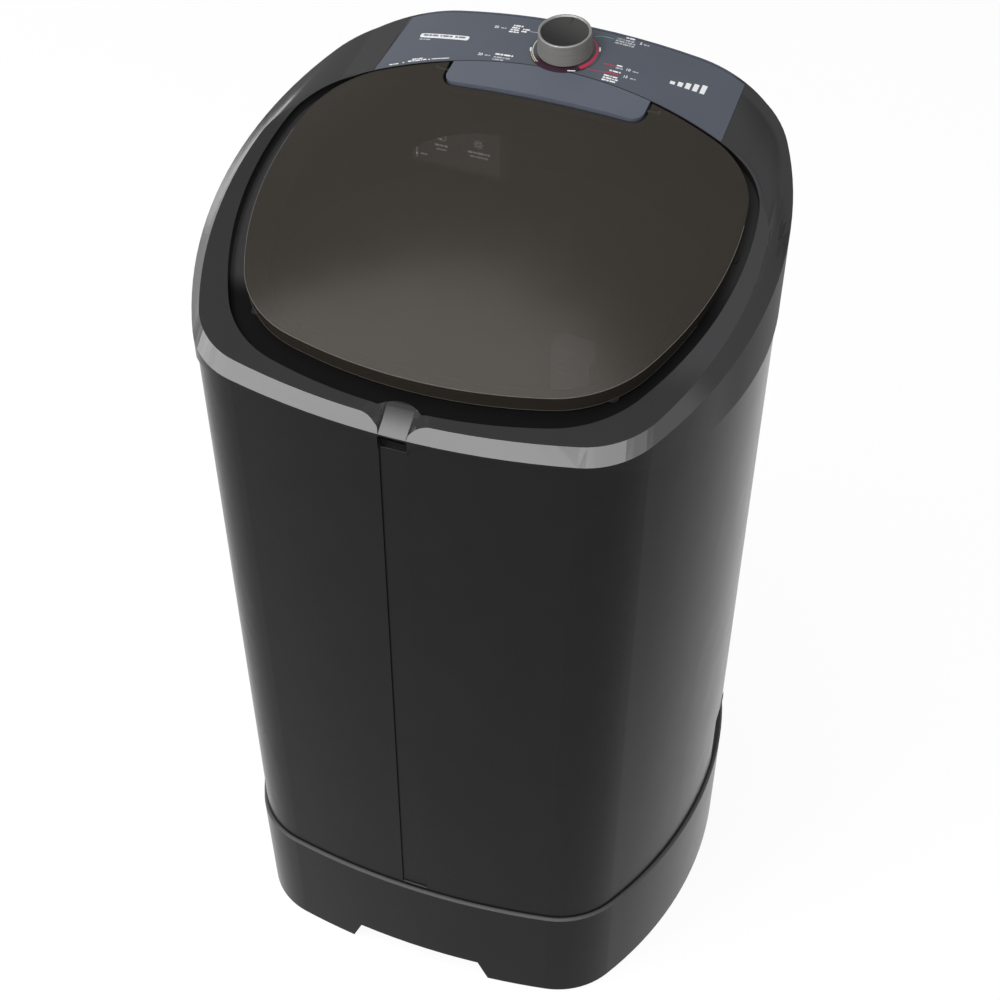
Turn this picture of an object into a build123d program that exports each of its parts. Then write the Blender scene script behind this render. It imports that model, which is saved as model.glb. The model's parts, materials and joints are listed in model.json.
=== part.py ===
from build123d import *
import os
from math import acos, atan2, cos, degrees, pi, radians, sin, sqrt, tan

# A top-loading washing machine with a single upright tub, a tapering black body,
# a smoked lid and one turning dial. Sizes are millimetres. Z points up, the front
# faces -Y, and the origin lies on the floor under the middle of the rim.

# Body heights and slope
foot_clearance = 4.0
base_height = 144.8
rim_height = 906.6
rim_slope = 13.77
skirt_height = 822.0

# Walls and clearances
cabinet_wall = 3.0
base_wall = 3.7
cover_wall = 3.0
skirt_proud = 2.0
fit_gap = 0.3
running_gap = 0.05
screw_clearance = 0.2

# Rim plan, measured in the sloping rim plane
rim_width = 580.0
rim_front = -268.0
rim_back = 268.0
rim_widest = 2.0
rim_front_radius = 870.0
rim_side_radius = 428.0
rim_back_radius = 2200.0
rim_front_corner = 87.0
rim_back_corner = 137.0

# Foot plan of the cabinet, where it stands in the base
foot_width = 533.0
foot_front = -262.5
foot_back = 243.0
foot_widest = 1.0
foot_front_radius = 826.0
foot_side_radius = 443.0
foot_back_corner = 112.0
base_toe_in = 3.9

# Bright bevel and deck ring around the lid
bevel_height = 13.5
deck_width = 546.6
deck_front = -256.5
deck_back = 143.0
deck_widest = -8.0
deck_front_radius = 760.0
deck_side_radius = 437.0
deck_back_radius = 900.0
deck_front_corner = 88.0
deck_back_corner = 92.0

# Recess that the lid lies in, and the mouth in its floor
recess_width = 514.0
recess_front = -244.0
recess_back = 190.5
recess_widest = 12.0
recess_back_corner = 104.0
recess_floor = 1.0
recess_floor_thickness = 3.0
mouth_width = 430.0
mouth_front = -188.0
mouth_back = 132.0
mouth_back_radius = 460.0
mouth_corner = 96.0

# Lid
lid_width = 486.0
lid_front = -215.0
lid_back = 187.0
lid_widest = 24.0
lid_front_radius = 521.0
lid_side_radius = 379.0
lid_back_radius = 500.0
lid_front_corner = 115.0
lid_back_corner = 92.0
lid_wall = 3.0
lid_front_rise = 21.5
lid_back_rise = 35.0
lid_crown_radius = 1000.0
lid_skirt_gap = 2.0
lid_skirt_end = 118.0
bumper_diameter = 10.0

# Hinge
hinge_along = 168.0
hinge_rise = 23.0
hinge_pin_diameter = 4.6
hinge_pin_grip = 10.0
knuckle_diameter = 9.0
knuckle_length = 11.5
plate_half_width = 107.0
plate_front = 146.0
plate_depth = 16.0
plate_corner = 13.0
plate_gap = 3.3

# Crowned rear deck and control panel
crown_along = 165.0
crown_rise = 35.0
crown_slope = 7.0
crown_radius = 900.0
panel_half_front = 190.0
panel_half_back = 184.0
panel_thickness = 2.3
panel_edge = 3.5
panel_seam = 0.4

# Timer and dial
dial_along = 58.5
dial_ring_diameter = 74.0
dial_ring_height = 0.6
knob_base_diameter = 58.5
knob_top_diameter = 55.0
knob_height = 25.0
knob_wall = 2.0
knob_cap_sink = 2.5
timer_shaft_diameter = 6.0
timer_size = (62.0, 42.0, 34.0)

# Front notch and channel
scoop_half_width = 15.0
scoop_reach = 46.0
scoop_front_level = 0.0
scoop_back_level = 12.0
scoop_lip = 5.5
ear_reach = 12.0
ear_drop = 13.0
slot_gap = 1.0
channel_width = 30.0
channel_depth = 2.0

# Front arch and feet of the base
arch_half_width = 89.0
arch_top_half_width = 75.0
arch_height = 28.0
foot_pad_diameter = 42.0
foot_pad_height = 9.0
foot_stem_diameter = 12.0
foot_spread_x = 175.0
foot_spread_y = 165.0
foot_middle = -12.0

# Side recess with the drain spigot
alcove_flat = 251.0
spigot_reach = 6.0
alcove_front = 28.0
alcove_back = 178.0
alcove_top = 236.0
spigot_diameter = 26.0
spigot_bore = 20.0
drain_height = 196.0
drain_along = 92.0

# Rear service cover
service_half_width = 150.0
service_low = 190.0
service_high = 520.0
service_overlap = 20.0
service_thickness = 2.3
gland_across = -100.0
gland_height = 232.0
gland_diameter = 22.0
gland_reach = 21.2
cord_bore = 8.0

# Tub
tub_middle = -4.0
tub_top_radius = 236.0
tub_floor_radius = 213.0
tub_wall = 4.0
tub_floor_height = 304.0
tub_floor_fillet = 24.0
tub_flange = 4.0
shelf_height = 811.0
shelf_width = 14.0
shelf_thickness = 4.0
boss_height = 33.0
boss_diameter = 20.0
boss_spread_x = 150.0
boss_spread_y = 48.0

# Drive train
shaft_diameter = 14.0
shaft_low = 128.0
shaft_high = 345.0
shaft_stub = 24.0
housing_diameter = 64.0
bush_wall = 4.0
bush_length = 22.0
bracket_length = 360.0
bracket_width = 132.0
bracket_thickness = 3.0
pulley_height = 18.0
belt_plane = 150.0
drive_pulley_diameter = 190.0
motor_pulley_diameter = 54.0
motor_pitch = 150.0
motor_diameter = 122.0
motor_length = 88.0
motor_shaft_diameter = 11.0
motor_wall = 2.5
grommet_height = 6.0
belt_width = 10.0
belt_depth = 7.0

# Impeller
impeller_diameter = 330.0
impeller_lift = 9.0
impeller_rim = 9.0
impeller_hub_height = 46.0
impeller_rib_count = 5
impeller_rib_height = 30.0

# Lint filter on the tub's back wall
filter_turn = -5.4
filter_width = 46.0
filter_depth = 20.0
filter_low = 470.0
filter_high = 612.0
filter_wall = 2.0
filter_travel = 120.0

# Dispenser under the rear left of the lid
dispenser_width = 118.0
dispenser_depth = 40.0
dispenser_height = 62.0
dispenser_across = -100.0
dispenser_front = 150.0
dispenser_low = 850.0
dispenser_wall = 2.0
label_thickness = 0.6

# Fasteners and electrical parts
screw_head_diameter = 9.0
screw_head_height = 3.0
screw_shank_diameter = 4.0
bolt_head_diameter = 13.0
bolt_head_height = 5.0
bolt_shank_diameter = 8.0
capacitor_diameter = 36.0
capacitor_length = 72.0
harness_diameter = 7.0
harness_bend = 22.0

deck = Location((0, 0, rim_height), (rim_slope, 0, 0))
panel = deck * Location((0, crown_along, crown_rise), (-crown_slope, 0, 0))
floor_top = tub_floor_height + tub_wall
flange_low = shelf_height + shelf_thickness
seat_height = base_height


def unit(vector):
    """The direction of a vector, with length one."""
    return vector * (1 / vector.length)


def nested_centre(first, first_radius, second, second_radius, radius, toward):
    """Centre of a small circle that touches two large circles from inside."""
    reach_first = first_radius - radius
    reach_second = second_radius - radius
    span = (second - first).length
    along = (reach_first**2 - reach_second**2 + span**2) / (2 * span)
    aside = sqrt(reach_first**2 - along**2)
    axis = unit(second - first)
    square = Vector(-axis.Y, axis.X)
    centres = [first + axis * along + square * (aside * side) for side in (1, -1)]
    return max(centres, key=lambda centre: centre.dot(toward))


def mirrored(vector):
    """The same point on the other side of the middle plane."""
    return Vector(-vector.X, vector.Y)


def closed_wire(centres, radii, headings):
    """A closed loop of arcs; each arc runs between two neighbouring headings."""
    edges = []
    for index, centre in enumerate(centres):
        radius = radii[index]
        start = headings[index]
        end = headings[(index + 1) % len(headings)]
        points = [centre + direction * radius for direction in (start, unit(start + end), end)]
        edges.append(ThreePointArc(*points).edge())
    return Wire(edges)


class Plan:
    """A closed plan of eight tangent arcs, alike on the left and the right."""

    def __init__(self, width, front, back, widest, radii, corners):
        self.width = width
        self.front = front
        self.back = back
        self.widest = widest
        self.radii = radii
        self.corners = corners

    def inset(self, by):
        """The parallel plan this far inside, or outside when negative."""
        radii = [radius - by for radius in self.radii]
        corners = [radius - by for radius in self.corners]
        width = self.width - 2 * by
        return Plan(width, self.front + by, self.back - by, self.widest, radii, corners)

    def centres(self):
        """Centres of the right half's arcs, from the front round to the back."""
        front_radius, side_radius, back_radius = self.radii
        front = Vector(0, self.front + front_radius)
        side = Vector(self.width / 2 - side_radius, self.widest)
        back = Vector(0, self.back - back_radius)
        near = nested_centre(front, front_radius, side, side_radius, self.corners[0], Vector(1, -1))
        far = nested_centre(back, back_radius, side, side_radius, self.corners[1], Vector(1, 1))
        return front, near, side, far, back

    def headings(self):
        """Directions in which the right half's arcs meet one another."""
        front, near, side, far, back = self.centres()
        return [unit(near - front), unit(near - side), unit(far - side), unit(far - back)]

    def wire(self):
        """The plan as a wire in its own plane."""
        front, near, side, far, back = self.centres()
        right = self.headings()
        left = [mirrored(heading) for heading in reversed(right)]
        centres = [near, side, far, back, mirrored(far), mirrored(side), mirrored(near), front]
        front_radius, side_radius, back_radius = self.radii
        near_radius, far_radius = self.corners
        loop = [near_radius, side_radius, far_radius, back_radius]
        loop += [far_radius, side_radius, near_radius, front_radius]
        return closed_wire(centres, loop, right + left)

    def circle(self, middle, radius):
        """A circle cut into arcs at this plan's headings, for blending to it."""
        right = self.headings()
        left = [mirrored(heading) for heading in reversed(right)]
        return closed_wire([Vector(0, middle)] * 8, [radius] * 8, right + left)


rim_radii = [rim_front_radius, rim_side_radius, rim_back_radius]
rim = Plan(rim_width, rim_front, rim_back, rim_widest, rim_radii, [rim_front_corner, rim_back_corner])
foot_radii = [foot_front_radius, foot_side_radius, rim_back_radius]
foot_corners = [rim_front_corner, foot_back_corner]
foot = Plan(foot_width, foot_front, foot_back, foot_widest, foot_radii, foot_corners)
deck_radii = [deck_front_radius, deck_side_radius, deck_back_radius]
deck_plan = Plan(deck_width, deck_front, deck_back, deck_widest, deck_radii, [deck_front_corner, deck_back_corner])
lid_radii = [lid_front_radius, lid_side_radius, lid_back_radius]
lid_plan = Plan(lid_width, lid_front, lid_back, lid_widest, lid_radii, [lid_front_corner, lid_back_corner])
recess_corners = [lid_front_corner, recess_back_corner]
recess = Plan(recess_width, recess_front, recess_back, recess_widest, lid_radii, recess_corners)
mouth_radii = [lid_front_radius, lid_side_radius, mouth_back_radius]
mouth = Plan(mouth_width, mouth_front, mouth_back, recess_widest, mouth_radii, [mouth_corner, mouth_corner])


def block(low, high):
    """A box between two opposite corners."""
    size = [high[axis] - low[axis] for axis in range(3)]
    middle = [(high[axis] + low[axis]) / 2 for axis in range(3)]
    return Location(tuple(middle)) * Box(*size)


def slab(low, high):
    """Everything between two heights."""
    return block((-400, -400, low), (400, 400, high))


def prism(wire, low, high):
    """A straight block raised from a flat wire between two levels."""
    return Solid.extrude(Face(wire.moved(Location((0, 0, low)))), Vector(0, 0, high - low))


def tapered(lower, lower_height, upper):
    """A body whose walls run from a level plan up to a plan in the rim plane."""
    low_wire = lower.wire().moved(Location((0, 0, lower_height)))
    return Solid.make_loft([low_wire, upper.wire().moved(deck)], ruled=True)


def cylinder(radius, low, high, place=(0, 0)):
    """An upright cylinder between two heights."""
    middle = (place[0], place[1], (low + high) / 2)
    return Location(middle) * Cylinder(radius, high - low)


def tube(outer_radius, inner_radius, low, high, place=(0, 0)):
    """An upright ring between two heights."""
    return cylinder(outer_radius, low, high, place) - cylinder(inner_radius, low - 1, high + 1, place)


def side_view(points, bend):
    """A full-width block whose side view is the given rounded outline."""
    outline = FilletPolyline(*points, radius=bend, close=True)
    return extrude(Plane.YZ * make_face(outline), amount=400, both=True)


def rim_line(along):
    """Height of the rim plane above a place along Y."""
    return rim_height + along * tan(radians(rim_slope))


def above_seam(drop, level, step_back):
    """Everything above the seam that follows the rim in front and is level behind."""
    front = rim_front + step_back
    points = [
        (-420, rim_line(-420) - drop),
        (front, rim_line(front) - drop),
        (front + 55, level),
        (420, level),
        (420, 1300),
        (-420, 1300),
    ]
    return side_view(points, 14)


def crown(radius, low=-60):
    """The crowned rear deck as a solid lying under a wide cylinder."""
    half = 330.0
    edge = sqrt(radius**2 - half**2) - crown_radius
    arc = ThreePointArc((-half, edge), (0, radius - crown_radius), (half, edge))
    sides = Polyline((half, edge), (half, low - 60), (-half, low - 60), (-half, edge))
    face = Plane.XZ * make_face([arc.edge(), *sides.edges()])
    return panel * extrude(face, amount=420, both=True)


def lid_dome(depth):
    """Everything under the lid's crowned top, lowered by a depth, in the deck frame."""
    half = 300.0
    front_level = lid_front_rise - depth
    back_level = lid_back_rise - depth
    edge = back_level - (lid_crown_radius - sqrt(lid_crown_radius**2 - half**2))
    low = -120.0
    front_line = Polyline((-half, low), (half, low), (half, front_level), (-half, front_level), close=True)
    arc = ThreePointArc((half, edge), (0, back_level), (-half, edge))
    back_line = Polyline((-half, edge), (-half, low), (half, low), (half, edge))
    front_face = Wire(front_line.edges()).moved(Location((0, -240, 0), (90, 0, 0)))
    back_wire = Wire([*back_line.edges(), arc.edge()])
    back_face = back_wire.moved(Location((0, 200, 0), (90, 0, 0)))
    return Solid.make_loft([front_face, back_face], ruled=True)


def seated(part, place):
    """Move a part from its own frame into place."""
    return part.moved(place)


def screw(place):
    """A pan-head screw whose head rests at the place and whose shank points down."""
    head = cylinder(screw_head_diameter / 2, 0, screw_head_height)
    head = fillet(head.edges().group_by(Axis.Z)[-1], screw_head_height * 0.6)
    shank = cylinder(screw_shank_diameter / 2, -12, 0)
    return place * (head + shank)


def bolt(place, length):
    """A hexagon-head bolt whose head rests at the place and whose shank points down."""
    head = extrude(RegularPolygon(bolt_head_diameter / 2, 6), bolt_head_height)
    return place * (head + cylinder(bolt_shank_diameter / 2, -length, 0))


def base():
    """Moulded base: a flaring band with a ledge, a seat for the cabinet and four foot pads."""
    ledge = foot.inset(-base_wall - fit_gap)
    toe = ledge.inset(base_toe_in)
    shoulder = 2.4
    top = seat_height + 4
    wires = [
        toe.wire().moved(Location((0, 0, foot_clearance))),
        ledge.wire().moved(Location((0, 0, top - shoulder))),
        ledge.inset(shoulder * 0.8).wire().moved(Location((0, 0, top))),
    ]
    band = Solid.make_loft(wires, ruled=True)
    toe_inside = toe.inset(base_wall)
    inside = Solid.make_loft(
        [
            toe_inside.wire().moved(Location((0, 0, foot_clearance))),
            ledge.inset(base_wall).wire().moved(Location((0, 0, top))),
        ],
        ruled=True,
    )
    body = band - inside
    seat = prism(ledge.inset(base_wall / 2).wire(), seat_height - 4, seat_height)
    seat -= prism(ledge.inset(24).wire(), seat_height - 5, seat_height + 1)
    body += seat
    for x in (-foot_spread_x, foot_spread_x):
        for y in (-foot_spread_y, foot_spread_y):
            body += foot_mount(x, y + foot_middle) & (band - slab(-10, foot_clearance))
    body -= arch()
    for x, y in foot_places():
        body -= cylinder(foot_stem_diameter / 2 + screw_clearance, 0, 40, (x, y))
    for place in base_screw_places():
        body -= cylinder(screw_shank_diameter / 2 + screw_clearance, seat_height - 20, seat_height + 1, place)
    return body


def foot_places():
    """Where the four feet stand."""
    sides = [(-1, -1), (1, -1), (1, 1), (-1, 1)]
    return [(foot_spread_x * x, foot_spread_y * y + foot_middle) for x, y in sides]


def foot_mount(x, y):
    """A pad that carries one foot, reaching out to the band beside it."""
    outward_x = x + (95 if x > 0 else -95)
    outward_y = y + (100 if y > 0 else -100)
    low = (min(x, outward_x) - 26, min(y, outward_y) - 26, 12)
    high = (max(x, outward_x) + 26, max(y, outward_y) + 26, 20)
    return block(low, high)


def arch():
    """The slanted cut-out in the front of the base."""
    points = [
        (-arch_half_width, foot_clearance - 5),
        (arch_half_width, foot_clearance - 5),
        (arch_top_half_width, foot_clearance + arch_height),
        (-arch_top_half_width, foot_clearance + arch_height),
    ]
    face = Plane.XZ * make_face(Polyline(*points, close=True))
    return extrude(face, amount=420) & block((-200, -420, -10), (200, -200, 60))


def base_screw_places():
    """Where the cabinet is screwed down to the base's seat."""
    ring = foot.inset(10)
    front, near, side, far, back = ring.centres()
    corner_front = near + unit(Vector(1, -1)) * ring.corners[0]
    corner_back = far + unit(Vector(1, 1)) * ring.corners[1]
    points = [(corner_front.X, corner_front.Y), (ring.width / 2, ring.widest), (corner_back.X, corner_back.Y)]
    return points + [(-x, y) for x, y in points]


def base_screws():
    """The screws that hold the cabinet's lip to the base."""
    height = seat_height + cabinet_wall
    return [screw(Location((x, y, height))) for x, y in base_screw_places()]


def rubber_feet():
    """Four rubber feet with stems pressed into the base."""
    feet = []
    for x, y in foot_places():
        pad = Cone(foot_pad_diameter / 2, foot_pad_diameter / 2 - 2, foot_pad_height)
        pad = Location((x, y, foot_pad_height / 2)) * pad
        pad = pad + cylinder(foot_stem_diameter / 2, foot_pad_height, 26, (x, y))
        pad += cylinder(foot_pad_diameter / 2 - 6, foot_pad_height, 11.7, (x, y))
        pad += Location((x, y, 22)) * Cone(foot_stem_diameter / 2 + 1.5, foot_stem_diameter / 2 - 1, 3.4)
        feet.append(pad)
    return feet


def cabinet_body(grow):
    """The cabinet's full tapering volume, grown outward by a distance."""
    return tapered(foot.inset(-grow), seat_height, rim.inset(skirt_proud - grow))


def wall_line(height):
    """Where the front wall's outer face lies in the middle, at a height."""
    top_along = (rim_front + skirt_proud) * cos(radians(rim_slope))
    top_height = rim_line(top_along)
    share = (height - seat_height) / (top_height - seat_height)
    return foot_front + (top_along - foot_front) * share


def front_strip(half_width, low, high, outward, inward):
    """A strip that follows the leaning front wall, out and in from its face."""
    wires = []
    for height in (low, high):
        face = wall_line(height)
        corners = [
            (-half_width, face - outward, height),
            (half_width, face - outward, height),
            (half_width, face + inward, height),
            (-half_width, face + inward, height),
        ]
        wires.append(Wire(Polyline(*corners, close=True).edges()))
    return Solid.make_loft(wires, ruled=True)


def alcove(grow):
    """The flattened side recess for the drain, grown by a wall."""
    low = (alcove_flat - grow, alcove_front - grow, seat_height + 8 - grow)
    return block(low, (320, alcove_back + grow, alcove_top + grow))


def cabinet_shell():
    """Tapering one-piece cabinet with a front channel, inner shelf and foot lip."""
    outer = cabinet_body(0)
    inner = cabinet_body(-cabinet_wall)
    shell = outer - inner
    shelf = (outer & slab(shelf_height, flange_low)) - cabinet_body(-shelf_width)
    lip = (outer & slab(seat_height, seat_height + cabinet_wall)) - cabinet_body(-18)
    shell = shell + shelf + lip
    high = rim_line(rim_front) - 8
    shell += front_strip(channel_width / 2 + 4, seat_height, shelf_height, 0, cabinet_wall + channel_depth) & outer
    shell -= front_strip(channel_width / 2, seat_height + 8, high, 10, channel_depth)
    niche = (alcove(cabinet_wall) - alcove(0)) & outer
    shell = shell - alcove(0) + niche
    shell -= drain_bore(spigot_diameter / 2 + fit_gap)
    opening = block((-service_half_width, 150, service_low), (service_half_width, 320, service_high))
    shell -= opening
    for place in service_screw_places():
        shell -= place * cylinder(screw_shank_diameter / 2 + screw_clearance, -30, 10)
    for place in base_screw_places():
        shell -= cylinder(screw_shank_diameter / 2 + screw_clearance, seat_height - 20, seat_height + 10, place)
    for place in tub_screw_places():
        shell -= cylinder(screw_shank_diameter / 2 + screw_clearance, shelf_height - 20, shelf_height + 10, place)
    shell -= above_seam(bevel_seam + fit_gap, cabinet_top, 30)
    for place in cover_screw_places():
        shell -= place * cylinder(screw_shank_diameter / 2 + screw_clearance, -30, 10)
    for ear in ears(fit_gap):
        shell -= ear
    return shell - scoop(cover_wall + fit_gap) - slot()


bevel_seam = 3.0
cabinet_top = skirt_height + 13.0


def drain_bore(radius):
    """A level cylinder along X through the drain opening."""
    place = Location((alcove_flat - 20, drain_along, drain_height), (0, 90, 0))
    return place * Cylinder(radius, 60)


def back_face(height, across=0.0):
    """Where the back wall's outer face lies at a height and a place across."""
    top_along = (rim_back - skirt_proud) * cos(radians(rim_slope))
    top_height = rim_line(top_along)
    share = (height - seat_height) / (top_height - seat_height)
    middle = foot_back + (top_along - foot_back) * share
    return middle - (rim_back_radius - sqrt(rim_back_radius**2 - across**2))


def back_place(across, height, lift):
    """A place on the back wall, facing outward, lifted from the wall."""
    lean = (back_face(height + 50) - back_face(height - 50)) / 100
    outward = Vector(across / rim_back_radius, 1, -lean)
    return Plane(origin=(across, back_face(height, across) + lift, height), z_dir=outward).location


def service_screw_places():
    """Where the service cover is screwed to the cabinet."""
    half = service_half_width + service_overlap / 2
    rows = [service_low - service_overlap / 2, (service_low + service_high) / 2, service_high + service_overlap / 2]
    lift = service_thickness + fit_gap
    return [back_place(x, z, lift) for z in rows for x in (-half, half)]


def cover_screw_places():
    """Where the top cover's skirt is screwed to the cabinet, at the back."""
    height = skirt_height + 6.5
    return [back_place(x, height, skirt_proud + 0.1) for x in (-110, 110)]


def rear_cover():
    """Curved service cover over the drive, with ribs of vents and a cord hole."""
    half = service_half_width + service_overlap
    window = block((-half, 150, service_low - service_overlap), (half, 320, service_high + service_overlap))
    plate = (cabinet_body(fit_gap + service_thickness) - cabinet_body(fit_gap)) & window
    for row in range(7):
        height = service_low + 150 + row * 20
        plate -= block((-70, 150, height), (70, 320, height + 7))
    plate -= back_place(gland_across, gland_height, 0) * cylinder(gland_diameter / 2 - 4 + fit_gap, -30, 30)
    for place in service_screw_places():
        plate -= place * cylinder(screw_shank_diameter / 2 + screw_clearance, -30, 10)
    return plate


def rear_cover_screws():
    """The screws of the service cover."""
    return [screw(place) for place in service_screw_places()]


def cord_gland():
    """Bushing that the mains cord leaves through, gripping the service cover."""
    place = back_place(gland_across, gland_height, fit_gap + service_thickness)
    flange = cylinder(gland_diameter / 2, 0.1, 4)
    flange = fillet(flange.edges().group_by(Axis.Z)[-1], 1.5)
    middle = (3 + gland_reach) / 2
    nozzle = Location((0, 0, middle)) * Cone(gland_diameter / 2 - 3, gland_diameter / 2 - 6, gland_reach - 3)
    body = flange + nozzle + cylinder(gland_diameter / 2 - 4, -8, 1)
    body += cylinder(gland_diameter / 2 - 2.5, -8, -service_thickness - 0.3)
    return place * (body - cylinder(cord_bore / 2, -20, 40))


def bevelled_top(drop=0.0, inset=0.0):
    """The rim's sloping bevel and flat deck, with its wide shoulder at the back."""
    low = rim.inset(inset).wire().moved(Location((0, 0, -drop)))
    high = deck_plan.inset(inset * 0.8).wire().moved(Location((0, 0, bevel_height - drop)))
    return Solid.make_loft([low, high], ruled=True).moved(deck)


def scoop_section(along, level, wall):
    """One cross-section of the finger scoop, from its flat floor out to the deck."""
    side = scoop_half_width + wall
    reach = scoop_reach + wall
    low = level - wall
    high = bevel_height + 0.8
    rise = high - low
    span = reach - side
    shares = [(1.0, 1.0), (0.62, 0.93), (0.3, 0.72), (0.1, 0.44), (0.0, 0.06)]
    left = [(-side - span * out, low + rise * up) for out, up in shares]
    right = [(-x, z) for x, z in reversed(left)]
    top = [(reach, 60), (-reach, 60)]
    edges = [
        Spline(*left, tangents=[(1, -0.05), (0, -1)]),
        Line(left[-1], (-side + 1, low)),
        Line((-side + 1, low), (side - 1, low)),
        Line((side - 1, low), right[0]),
        Spline(*right, tangents=[(0, 1), (1, 0.05)]),
        Line(right[-1], top[0]),
        Line(top[0], top[1]),
        Line(top[1], left[0]),
    ]
    return Wire([edge.edge() for edge in edges]).moved(Location((0, along, 0), (90, 0, 0)))


def scoop(wall=0.0):
    """The finger scoop in the middle of the front, as a solid to cut away or to line."""
    back = recess_front + scoop_lip + 2
    slope = (scoop_back_level - scoop_front_level) / (recess_front + scoop_lip - rim_front)
    front = rim_front - 10
    wires = [
        scoop_section(front, scoop_front_level - slope * (rim_front - front), wall),
        scoop_section(back, scoop_front_level + slope * (back - rim_front), wall),
    ]
    return Solid.make_loft(wires, ruled=True).moved(deck)


def scoop_lip_block(low):
    """The part of the deck that reaches back into the recess behind the scoop."""
    reach = scoop_half_width + scoop_lip * 3
    curve = Spline(
        (-reach, recess_front - 2),
        (-scoop_half_width, recess_front + scoop_lip),
        (scoop_half_width, recess_front + scoop_lip),
        (reach, recess_front - 2),
        tangents=[(1, 0.1), (1, -0.1)],
    )
    face = make_face([curve.edge(), Line((reach, recess_front - 2), (-reach, recess_front - 2)).edge()])
    return (Location((0, 0, low)) * extrude(face, amount=bevel_height - low)).moved(deck)


def ears(grow):
    """Two small tails of the cover's lower edge beside the channel."""
    high = rim_line(rim_front) + 2
    low = high - 5 - ear_drop - grow
    inner = scoop_half_width - grow
    outer = scoop_half_width + ear_reach + grow
    bulge = 0.16
    middle_x = (outer + inner) / 2 - bulge * (high - 4 - low)
    middle_z = (high - 4 + low) / 2 + bulge * (outer - inner)
    sides = []
    for side in (-1, 1):
        bend = ThreePointArc((side * outer, high - 4), (side * middle_x, middle_z), (side * inner, low))
        lines = Polyline((side * inner, low), (side * inner, high), (side * outer, high), (side * outer, high - 4))
        face = Plane.XZ * make_face([bend.edge(), *lines.edges()])
        sides.append(Location((0, -200, 0)) * extrude(face, amount=110))
    return sides


def slot():
    """The dark slot under the scoop, between the two tails."""
    half = scoop_half_width - slot_gap
    high = rim_line(rim_front)
    return block((-half, -300, high - 14 - ear_drop * 0.2), (half, -225, high))


def collar(grow, low):
    """The funnel from the mouth in the recess floor down to the tub."""
    upper = mouth.inset(-grow).wire().moved(Location((0, 0, recess_floor)))
    lower = mouth.circle(tub_middle, tub_top_radius + grow)
    return Solid.make_loft([upper.moved(deck), lower.moved(Location((0, 0, low)))], ruled=True)


def hinge_seat():
    """The block that carries the hinge cover, behind the lid's cut-out."""
    half = plate_half_width - 3
    seat = block((-half, plate_front + 3, recess_floor - 1), (half, recess_back + 6, 60)).moved(deck)
    return seat & crown(crown_radius - plate_depth - fit_gap)


def cover_outside():
    """The top cover's outer volume: skirt, bevel, deck and crowned back."""
    body = tapered(foot.inset(-skirt_proud), seat_height, rim)
    skirt = body & above_seam(bevel_seam, skirt_height, 30)
    for ear in ears(0):
        skirt += body & ear
    back_block = prism(rim.inset(0.6).wire(), -2, 80).moved(deck) & crown(crown_radius)
    behind = block((-400, recess_back - 60, -5), (400, 400, 90)).moved(deck)
    return skirt + bevelled_top() + (back_block & behind)


def cover_inside():
    """The space inside the top cover's wall."""
    thin = tapered(foot.inset(-fit_gap), seat_height, rim.inset(skirt_proud - fit_gap))
    thin -= above_seam(bevel_seam, cabinet_top + fit_gap, 30)
    for ear in ears(2):
        thin -= ear
    thick = cabinet_body(-cabinet_wall - 0.5) - prism(rim.inset(-30).wire(), -cover_wall, 90).moved(deck)
    bevel = bevelled_top(cover_wall, cover_wall + 5)
    behind = block((-400, recess_back + cover_wall, -5), (400, 400, 90)).moved(deck)
    back_block = prism(rim.inset(cover_wall + 3).wire(), -5, 80).moved(deck) & crown(crown_radius - cover_wall - panel_thickness)
    return [thin, thick, bevel, back_block & behind]


def panel_window(grow):
    """The plan of the control panel as a tall block, grown by a seam."""
    front = 130 - crown_along
    points = [
        (-panel_half_front - grow, front),
        (panel_half_front + grow, front),
        (panel_half_back + grow, 150),
        (-panel_half_back - grow, 150),
    ]
    window = panel * extrude(make_face(Polyline(*points, close=True)), amount=60, both=True)
    window &= prism(rim.inset(panel_edge - grow).wire(), -60, 120).moved(deck)
    return window - prism(recess.inset(-0.8 + grow).wire(), -60, 120).moved(deck)


def top_cover():
    """Top cover: skirt, bright bevel, deck ring, lid recess, collar and crowned back."""
    outside = cover_outside()
    cover = outside
    for space in cover_inside():
        cover -= space
    cover += scoop(cover_wall) & outside & block((-90, -300, 700), (90, -200, 950))
    floor_low = recess_floor - recess_floor_thickness
    well = prism(recess.inset(-cover_wall).wire(), floor_low, bevel_height - 0.5).moved(deck)
    behind = block((-400, 60, floor_low), (400, recess_back + cover_wall, 60)).moved(deck)
    back_wall = prism(recess.inset(-cover_wall).wire(), floor_low, 80).moved(deck) & behind & crown(crown_radius)
    cover = cover + well + back_wall
    cover -= prism(recess.wire(), recess_floor, 90).moved(deck) - scoop_lip_block(recess_floor)
    cover += scoop_lip_block(recess_floor) - prism(recess.inset(-1).wire(), -60, 90).moved(deck) + hinge_seat()
    funnel = collar(cover_wall, flange_low + tub_flange) - collar(0, flange_low + tub_flange)
    cover += funnel
    cover -= prism(mouth.wire(), floor_low - 1, recess_floor + 0.01).moved(deck)
    cover -= panel_window(panel_seam / 2) & (crown(crown_radius + 20) - crown(crown_radius - panel_thickness))
    cover -= panel * cylinder(timer_shaft_diameter / 2 + 3, -30, 10, (0, dial_along))
    cover -= scoop()
    cover -= slot()
    for place in cover_screw_places():
        cover -= place * cylinder(screw_shank_diameter / 2 + screw_clearance, -30, 10)
    cover -= hinge_cover_block(fit_gap)
    return cover - dispenser_block(fit_gap)


def cover_screws():
    """The two screws through the back of the top cover's skirt."""
    return [screw(place) for place in cover_screw_places()]


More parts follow.
